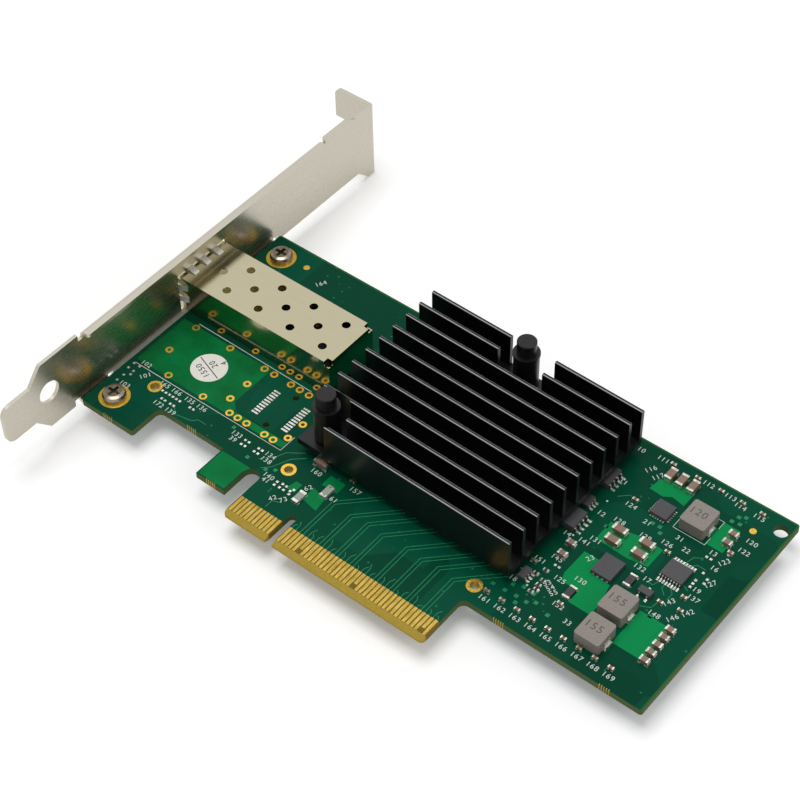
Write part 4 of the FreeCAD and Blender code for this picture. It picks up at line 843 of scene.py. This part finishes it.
def toe_lands():
    """Solder lands under the toes of the leads, reaching a little beyond them."""
    lands = []
    for node in NODES:
        if not node.endswith("_leads"):
            continue
        body_low, body_high = box_mm(node.replace("_leads", "_package"))
        for low, high in loose_boxes(node):
            away = low + high - body_low - body_high
            along = 0 if high.x - low.x > high.y - low.y else 1
            if away[along] > 0:
                toe = (high[along] - TOE_UNDER, high[along] + TOE_BEYOND)
            else:
                toe = (low[along] - TOE_BEYOND, low[along] + TOE_UNDER)
            side = (low[1 - along] - TOE_BESIDE, high[1 - along] + TOE_BESIDE)
            across, up = (toe, side) if along == 0 else (side, toe)
            lands.append(rectangle(across[0], up[0], across[1], up[1]))
    return lands


# The empty port's connector: its two rows of lands, their pitch and half their size.
LAND_ROWS = (-13.6, -5.3)
LANDS_IN_ROW = 10
LAND_PITCH = 0.8
LAND_HALF_LONG = 0.85
LAND_HALF_WIDE = 0.22


def connector_lands():
    """The two rows of bare lands of the empty port."""
    lands = []
    for x in LAND_ROWS:
        for step in range(LANDS_IN_ROW):
            y = EMPTY_PORT_Y + LAND_PITCH * (step - (LANDS_IN_ROW - 1) / 2)
            lands.append(rectangle(x - LAND_HALF_LONG, y - LAND_HALF_WIDE,
                                   x + LAND_HALF_LONG, y + LAND_HALF_WIDE))
    return lands


# The flat regulator's lands: how many on a side, their pitch, half width and reach.
FLAT_LANDS = 6
FLAT_PITCH = 0.6
FLAT_HALF = 0.15
FLAT_OUT = 0.4


def regulator_lands():
    """The rows of lands that show round the flat regulator."""
    low, high = box_mm("regulator_package")
    lands = []
    for step in range(FLAT_LANDS):
        offset = FLAT_PITCH * (step - (FLAT_LANDS - 1) / 2)
        x = (low.x + high.x) / 2 + offset
        y = (low.y + high.y) / 2 + offset
        lands += [rectangle(x - FLAT_HALF, low.y - FLAT_OUT, x + FLAT_HALF, low.y),
                  rectangle(x - FLAT_HALF, high.y, x + FLAT_HALF, high.y + FLAT_OUT),
                  rectangle(low.x - FLAT_OUT, y - FLAT_HALF, low.x, y + FLAT_HALF),
                  rectangle(high.x, y - FLAT_HALF, high.x + FLAT_OUT, y + FLAT_HALF)]
    return lands


# Half the side of a bare land, and the lands of parts that aren't fitted.
BARE_LAND = 0.27
BARE_LANDS = (
    # by the lower bracket screw
    (-43.6, 19.0), (-42.0, 19.0), (-43.7, 17.3), (-42.1, 17.2), (-43.0, 15.1), (-41.9, 16.1),
    (-43.1, 13.2),
    # beside the tooling hole of the bracket arm
    (-33.2, 16.9), (-32.2, 16.9), (-31.2, 16.9), (-30.2, 16.9), (-29.2, 16.9), (-28.2, 16.9),
    (-31.8, 15.1), (-30.8, 15.1), (-29.3, 15.1), (-28.3, 15.1), (-25.3, 16.9), (-24.3, 16.9),
    # below the empty port
    (-9.9, 17.3), (-8.9, 17.3), (-9.9, 16.0), (-8.9, 16.0), (-6.2, 17.3), (-5.2, 17.3),
    (-6.4, 16.1), (-5.4, 16.1),
    # between the slot and the key
    (2.8, 12.9), (2.8, 11.9), (4.1, 13.1), (5.1, 13.1), (4.1, 12.0), (5.2, 12.0),
    (6.5, 12.6), (6.8, 11.8), (6.9, 13.3),
    # by the driver
    (83.8, 42.5), (83.8, 43.5), (83.8, 44.5), (82.3, 50.7), (83.3, 50.7), (85.5, 53.7),
    (85.5, 54.7), (85.5, 44.8), (85.5, 46.0), (84.0, 46.9), (61.0, 30.6), (60.0, 30.6),
)
bare_lands = [square(x, y, BARE_LAND) for x, y in BARE_LANDS]
lands = cut_sheets(toe_lands() + connector_lands() + regulator_lands() + bare_lands,
                   BOARD_HIGH.z, PLATE_STEP)
settle(lands, "solder_lands", TIN)

# cut ends of the plating bars, in groups where the board was parted from its panel
STUBS_IN_GROUP = 5
STUB_WIDE = 0.16
STUB_STEP = 0.55
STUB_LONG = 0.22
STUBS = ((-38.6, HOOK_LOW), (-22.3, ARM_EDGE), (-9.2, HOOK_LOW), (58.2, ARM_EDGE),
         (83.0, ARM_EDGE))
stubs = cut_sheets([rectangle(x + step * STUB_STEP, edge - PLATE_STEP,
                              x + step * STUB_STEP + STUB_WIDE, edge + STUB_LONG)
                    for x, edge in STUBS for step in range(STUBS_IN_GROUP)],
                   UNDERSIDE - MASK_STEP, BOARD_THICK + MASK_STEP * 2)
settle(stubs, "plating_bar_ends", HARD_GOLD)


# --- printed marks ------------------------------------------------------------------

# The type's size over the height of its figures, and the room it gives each figure.
TYPE_SIZE = 1.38
TYPE_ROOM = 1.15


def printed(text, x, y, height, turn=0.0, level=BOARD_HIGH.z, thick=INK_STEP):
    """A number printed on a face."""
    deselect()
    bpy.ops.object.text_add()
    piece = bpy.context.object
    piece.data.body = text
    piece.data.size = height * TYPE_SIZE * MM
    piece.data.align_x = "CENTER"
    piece.data.align_y = "CENTER"
    piece.data.space_character = TYPE_ROOM
    piece.data.extrude = thick * MM / 2
    piece.data.resolution_u = 3
    piece.location = Vector((x, y, level + thick / 2)) * MM
    piece.rotation_euler.z = math.radians(turn)
    return to_mesh(piece)


NUMBER_HIGH = 1.2
SLANT = 60
# Each number, its place and its turn.
MARKED = (
    # along the upper edge
    ("10", 56.4, 65.9, 0), ("111", 61.4, 66.5, 0), ("112", 72.4, 66.6, 0), ("113", 77.7, 66.5, 0),
    ("114", 80.6, 65.6, 0), ("115", 85.1, 65.5, 0), ("116", 60.9, 62.7, SLANT),
    ("117", 63.2, 61.9, SLANT),
    # beside the sink's far end
    ("11", 58.4, 56.5, 0), ("12", 59.6, 46.9, 0), ("14", 57.2, 38.5, 0), ("124", 63.1, 52.3, 0),
    ("128", 63.6, 47.5, 0), ("131", 62.6, 40.6, 0), ("141", 61.1, 38.9, 0), ("145", 59.3, 32.2, 0),
    ("18", 55.4, 22.9, 0), ("151", 56.8, 29.8, 0), ("125", 62.8, 28.2, 0),
    # round the regulators and their inductors
    ("21", 68.2, 50.6, 0), ("31", 75.6, 51.2, 0), ("129", 69.9, 47.4, 0), ("132", 73.4, 40.3, 0),
    ("23", 64.5, 36.2, SLANT), ("130", 66.1, 30.5, 0), ("152", 66.2, 22.9, 0),
    ("33", 70.0, 20.7, 0), ("126", 74.3, 48.6, 0), ("22", 78.2, 49.5, 0), ("13", 82.8, 52.2, 0),
    ("16", 85.1, 49.1, 0), ("123", 85.8, 51.6, SLANT), ("120", 87.4, 59.1, 0),
    ("122", 87.4, 56.2, 0), ("127", 86.6, 45.4, SLANT), ("17", 76.2, 38.7, 0),
    ("19", 85.3, 42.5, 0), ("137", 85.9, 40.4, 0), ("143", 82.7, 36.8, SLANT),
    ("142", 87.0, 36.8, SLANT), ("146", 85.3, 34.0, SLANT), ("148", 82.0, 32.6, 0),
    # the crowded group below the sink's corner
    ("53", 61.4, 26.0, SLANT), ("54", 62.6, 25.4, SLANT), ("55", 63.8, 24.8, SLANT),
    # between the connector and the sink
    ("160", 7.4, 19.7, 0), ("157", 16.9, 20.8, 0), ("62", 8.9, 15.5, SLANT), ("61", 14.9, 16.3, 0),
    ("140", 0.4, 12.9, 0), ("41", 0.6, 11.7, 0), ("42", 4.9, 9.0, SLANT), ("73", 6.9, 10.0, SLANT),
    # below the empty port and by the lower bracket screw
    ("133", -12.4, 17.4, 0), ("39", -12.2, 15.9, 0), ("134", -3.0, 17.3, 0),
    ("138", -2.9, 15.8, 0), ("165 166", -32.3, 18.4, 0), ("135 136", -25.0, 18.3, 0),
    ("172 139", -29.6, 13.5, 0), ("101", -39.1, 17.7, SLANT), ("102", -41.3, 20.4, 0),
    ("103", -40.9, 13.2, 0), ("164", -27.6, 62.4, SLANT),
)
# the row of small capacitors along the lower edge is numbered in order
FIRST_LOWER = 161
LOWER_ROW_TOP = 18.0
LOWER_ASIDE = 0.6
LOWER_BELOW = 1.4
numbers = [printed(text, x, y, NUMBER_HIGH, turn) for text, x, y, turn in MARKED]
lower_caps = [box for box in loose_boxes("small_capacitor_bodies")
              if box[1].y < LOWER_ROW_TOP]
for step, (low, high) in enumerate(lower_caps):
    numbers.append(printed(str(FIRST_LOWER + step), (low.x + high.x) / 2 + LOWER_ASIDE,
                           low.y - LOWER_BELOW, NUMBER_HIGH))
settle(join(numbers), "printed_numbers", INK_WHITE)

COIL_A_LOW, COIL_A_HIGH = box_mm("inductor_a_core")
LINE_WIDE = 0.2
PIN_ONE_DOT = 0.22
PRINTED_LINES = (
    # round the empty port
    ((BOARD_LOW.x + 1.6, 19.4), (-2.35, 19.7), (-2.3, 24.2)),
    ((-40.5, 36.4), (-8.0, 36.2)),
    # round the upper inductor, open at its terminals
    ((COIL_A_LOW.x - 0.8, COIL_A_LOW.y + 2.2), (COIL_A_LOW.x - 0.8, COIL_A_LOW.y - 0.5),
     (COIL_A_HIGH.x + 0.9, COIL_A_LOW.y - 0.5), (COIL_A_HIGH.x + 0.9, COIL_A_LOW.y + 1.6)),
    ((COIL_A_HIGH.x + 0.9, COIL_A_HIGH.y - 1.6), (COIL_A_HIGH.x + 0.9, COIL_A_HIGH.y + 0.5),
     (COIL_A_LOW.x - 0.8, COIL_A_HIGH.y + 0.5)),
)
outline_marks = draw_lines(PRINTED_LINES, LINE_WIDE, BOARD_HIGH.z, INK_STEP)
settle(outline_marks, "printed_lines", INK_WHITE)
dots("pin_one_dots", ((58.7, 50.3), (58.4, 38.9), (58.6, 23.2)), PIN_ONE_DOT, INK_WHITE,
     "label_paper", thick=INK_STEP)

# the round label: plain numbers and a line across
LABEL_X = (LABEL_LOW.x + LABEL_HIGH.x) / 2
LABEL_Y = (LABEL_LOW.y + LABEL_HIGH.y) / 2
LABEL_TURN = 161.0
LABEL_LINE_HALF = (LABEL_HIGH.x - LABEL_LOW.x) / 2 * 0.92
LABEL_LINE_WIDE = 0.22
LABEL_NUMBER_HIGH = 1.45
# Each number, its place along the line and its place across from it.
LABEL_NUMBERS = (("1550", 0.0, 1.5), ("20", 0.3, -1.3), ("4", -0.6, -3.4))


def on_label(along, across):
    """A place on the label, along its line and across from it."""
    turn = math.radians(LABEL_TURN)
    return (LABEL_X + along * math.cos(turn) - across * math.sin(turn),
            LABEL_Y + along * math.sin(turn) + across * math.cos(turn))


label_line = (on_label(-LABEL_LINE_HALF, 0), on_label(LABEL_LINE_HALF, 0))
label_marks = [draw_lines((label_line,), LABEL_LINE_WIDE, LABEL_HIGH.z, PAPER_STEP)]
for text, along, across in LABEL_NUMBERS:
    label_marks.append(printed(text, *on_label(along, across), LABEL_NUMBER_HIGH, LABEL_TURN,
                               LABEL_HIGH.z, PAPER_STEP))
settle(join(label_marks), "label_print", INK_DARK)

# figures on the inductors, a little to one side of their middles
CORE_NUMBERS = (("120", "inductor_a_core"), ("155", "inductor_b_core"),
                ("155", "inductor_c_core"))
CORE_NUMBER_HIGH = 1.8
CORE_SHIFT = Vector((-0.5, 0.3, 0))
core_marks = []
for text, node in CORE_NUMBERS:
    low, high = box_mm(node)
    middle = (low + high) / 2 + CORE_SHIFT
    core_marks.append(printed(text, middle.x, middle.y, CORE_NUMBER_HIGH, 0, high.z, PAPER_STEP))
settle(join(core_marks), "inductor_numbers", SUNK_MARK)

# a number on three of the packages, and a dot by one corner
PACKAGE_NUMBERS = (("20", "regulator_package"), ("16", "driver_package"),
                   ("30", "power_stage_package"))
PACKAGE_NUMBER_HIGH = 1.1
PACKAGE_DOT = 0.25
PACKAGE_DOT_IN = 0.7
PACKAGE_DOT_SIDES = 14
package_marks = []
for text, node in PACKAGE_NUMBERS:
    low, high = box_mm(node)
    middle = (low + high) / 2
    package_marks.append(printed(text, middle.x, middle.y, PACKAGE_NUMBER_HIGH, 0, high.z,
                                 PAPER_STEP))
    dot = round_outline(low.x + PACKAGE_DOT_IN, low.y + PACKAGE_DOT_IN, PACKAGE_DOT,
                        PACKAGE_DOT_SIDES)
    package_marks.append(cut_sheets([dot], high.z, PAPER_STEP))
settle(join(package_marks), "package_marks", LASER_MARK)


# --- studio ---------------------------------------------------------------------------

# The camera looks at a place over the card; distances in this part are in metres.
AIM = Vector((14.0, 39.2, 9.7)) * MM
CAMERA_AZIMUTH = 39.83
CAMERA_ELEVATION = 47.65
CAMERA_ROLL = -1.3
CAMERA_DISTANCE = 0.4194
CAMERA_LENS = 91.9
SENSOR = 36.0


def turned(azimuth, elevation, roll=0.0):
    """The turn of a camera or lamp that looks at the card from a direction."""
    return (Matrix.Rotation(math.radians(azimuth), 3, "Z")
            @ Matrix.Rotation(math.radians(90 - elevation), 3, "X")
            @ Matrix.Rotation(math.radians(roll), 3, "Z"))


def stand(thing, azimuth, elevation, distance, roll=0.0):
    """Put a camera or lamp where it looks at the card from a direction and distance."""
    turn = turned(azimuth, elevation, roll)
    thing.rotation_euler = turn.to_euler()
    thing.location = AIM + turn @ Vector((0, 0, distance))
    bpy.context.scene.collection.objects.link(thing)


camera_data = bpy.data.cameras.new("camera")
camera_data.lens = CAMERA_LENS
camera_data.sensor_width = SENSOR
camera_data.clip_start = 0.01
camera = bpy.data.objects.new("camera", camera_data)
stand(camera, CAMERA_AZIMUTH, CAMERA_ELEVATION, CAMERA_DISTANCE, CAMERA_ROLL)
bpy.context.scene.camera = camera


def softbox(name, azimuth, elevation, distance, side, power):
    """A square lamp; its distance and side are in metres."""
    data = bpy.data.lights.new(name, "AREA")
    data.shape = "SQUARE"
    data.size = side
    data.energy = power
    stand(bpy.data.objects.new(name, data), azimuth, elevation, distance)


softbox("overhead", azimuth=262, elevation=80, distance=1.4, side=0.9, power=10.6)
softbox("side", azimuth=100, elevation=35, distance=1.0, side=0.5, power=1.0)

WHITE = (1, 1, 1, 1)
# The world lights the card with this strength, and is plain white where it is seen.
WORLD_GLOW = 0.42

world = bpy.data.worlds.new("studio")
world.use_nodes = True
sky = world.node_tree
sky.nodes.clear()
rays = add(sky, "ShaderNodeLightPath")
seen = add(sky, "ShaderNodeMath", {
    0: rays.outputs["Is Camera Ray"], 1: rays.outputs["Is Glossy Ray"]}, operation="MAXIMUM")
seen = add(sky, "ShaderNodeMath", {0: seen.outputs[0], 1: rays.outputs["Is Transmission Ray"]},
           operation="MAXIMUM")
level = add(sky, "ShaderNodeMapRange", {
    "Value": seen.outputs[0], "To Min": WORLD_GLOW, "To Max": 1.0})
background = add(sky, "ShaderNodeBackground", {
    "Color": WHITE, "Strength": level.outputs["Result"]})
add(sky, "ShaderNodeOutputWorld", {"Surface": background.outputs["Background"]})
bpy.context.scene.world = world

# The floor ends before it falls off in brightness, and the white world goes on from there.
FLOOR_RADIUS = 0.33
FLOOR_GAP = 0.0005
PALE_FLOOR = new_material("pale_floor", {
    "Base Color": (0.93, 0.93, 0.93, 1), "Roughness": 0.9, "Specular IOR Level": 0.0,
    "Emission Color": WHITE, "Emission Strength": 0.18})[0]
deselect()
bpy.ops.mesh.primitive_circle_add(vertices=96, radius=FLOOR_RADIUS, fill_type="NGON",
                                  location=(AIM.x, AIM.y, CAD_BOX[0][2] - FLOOR_GAP))
floor = bpy.context.object
floor.name = "floor"
floor.data.materials.append(PALE_FLOOR)

bpy.context.scene.view_settings.view_transform = "Standard"
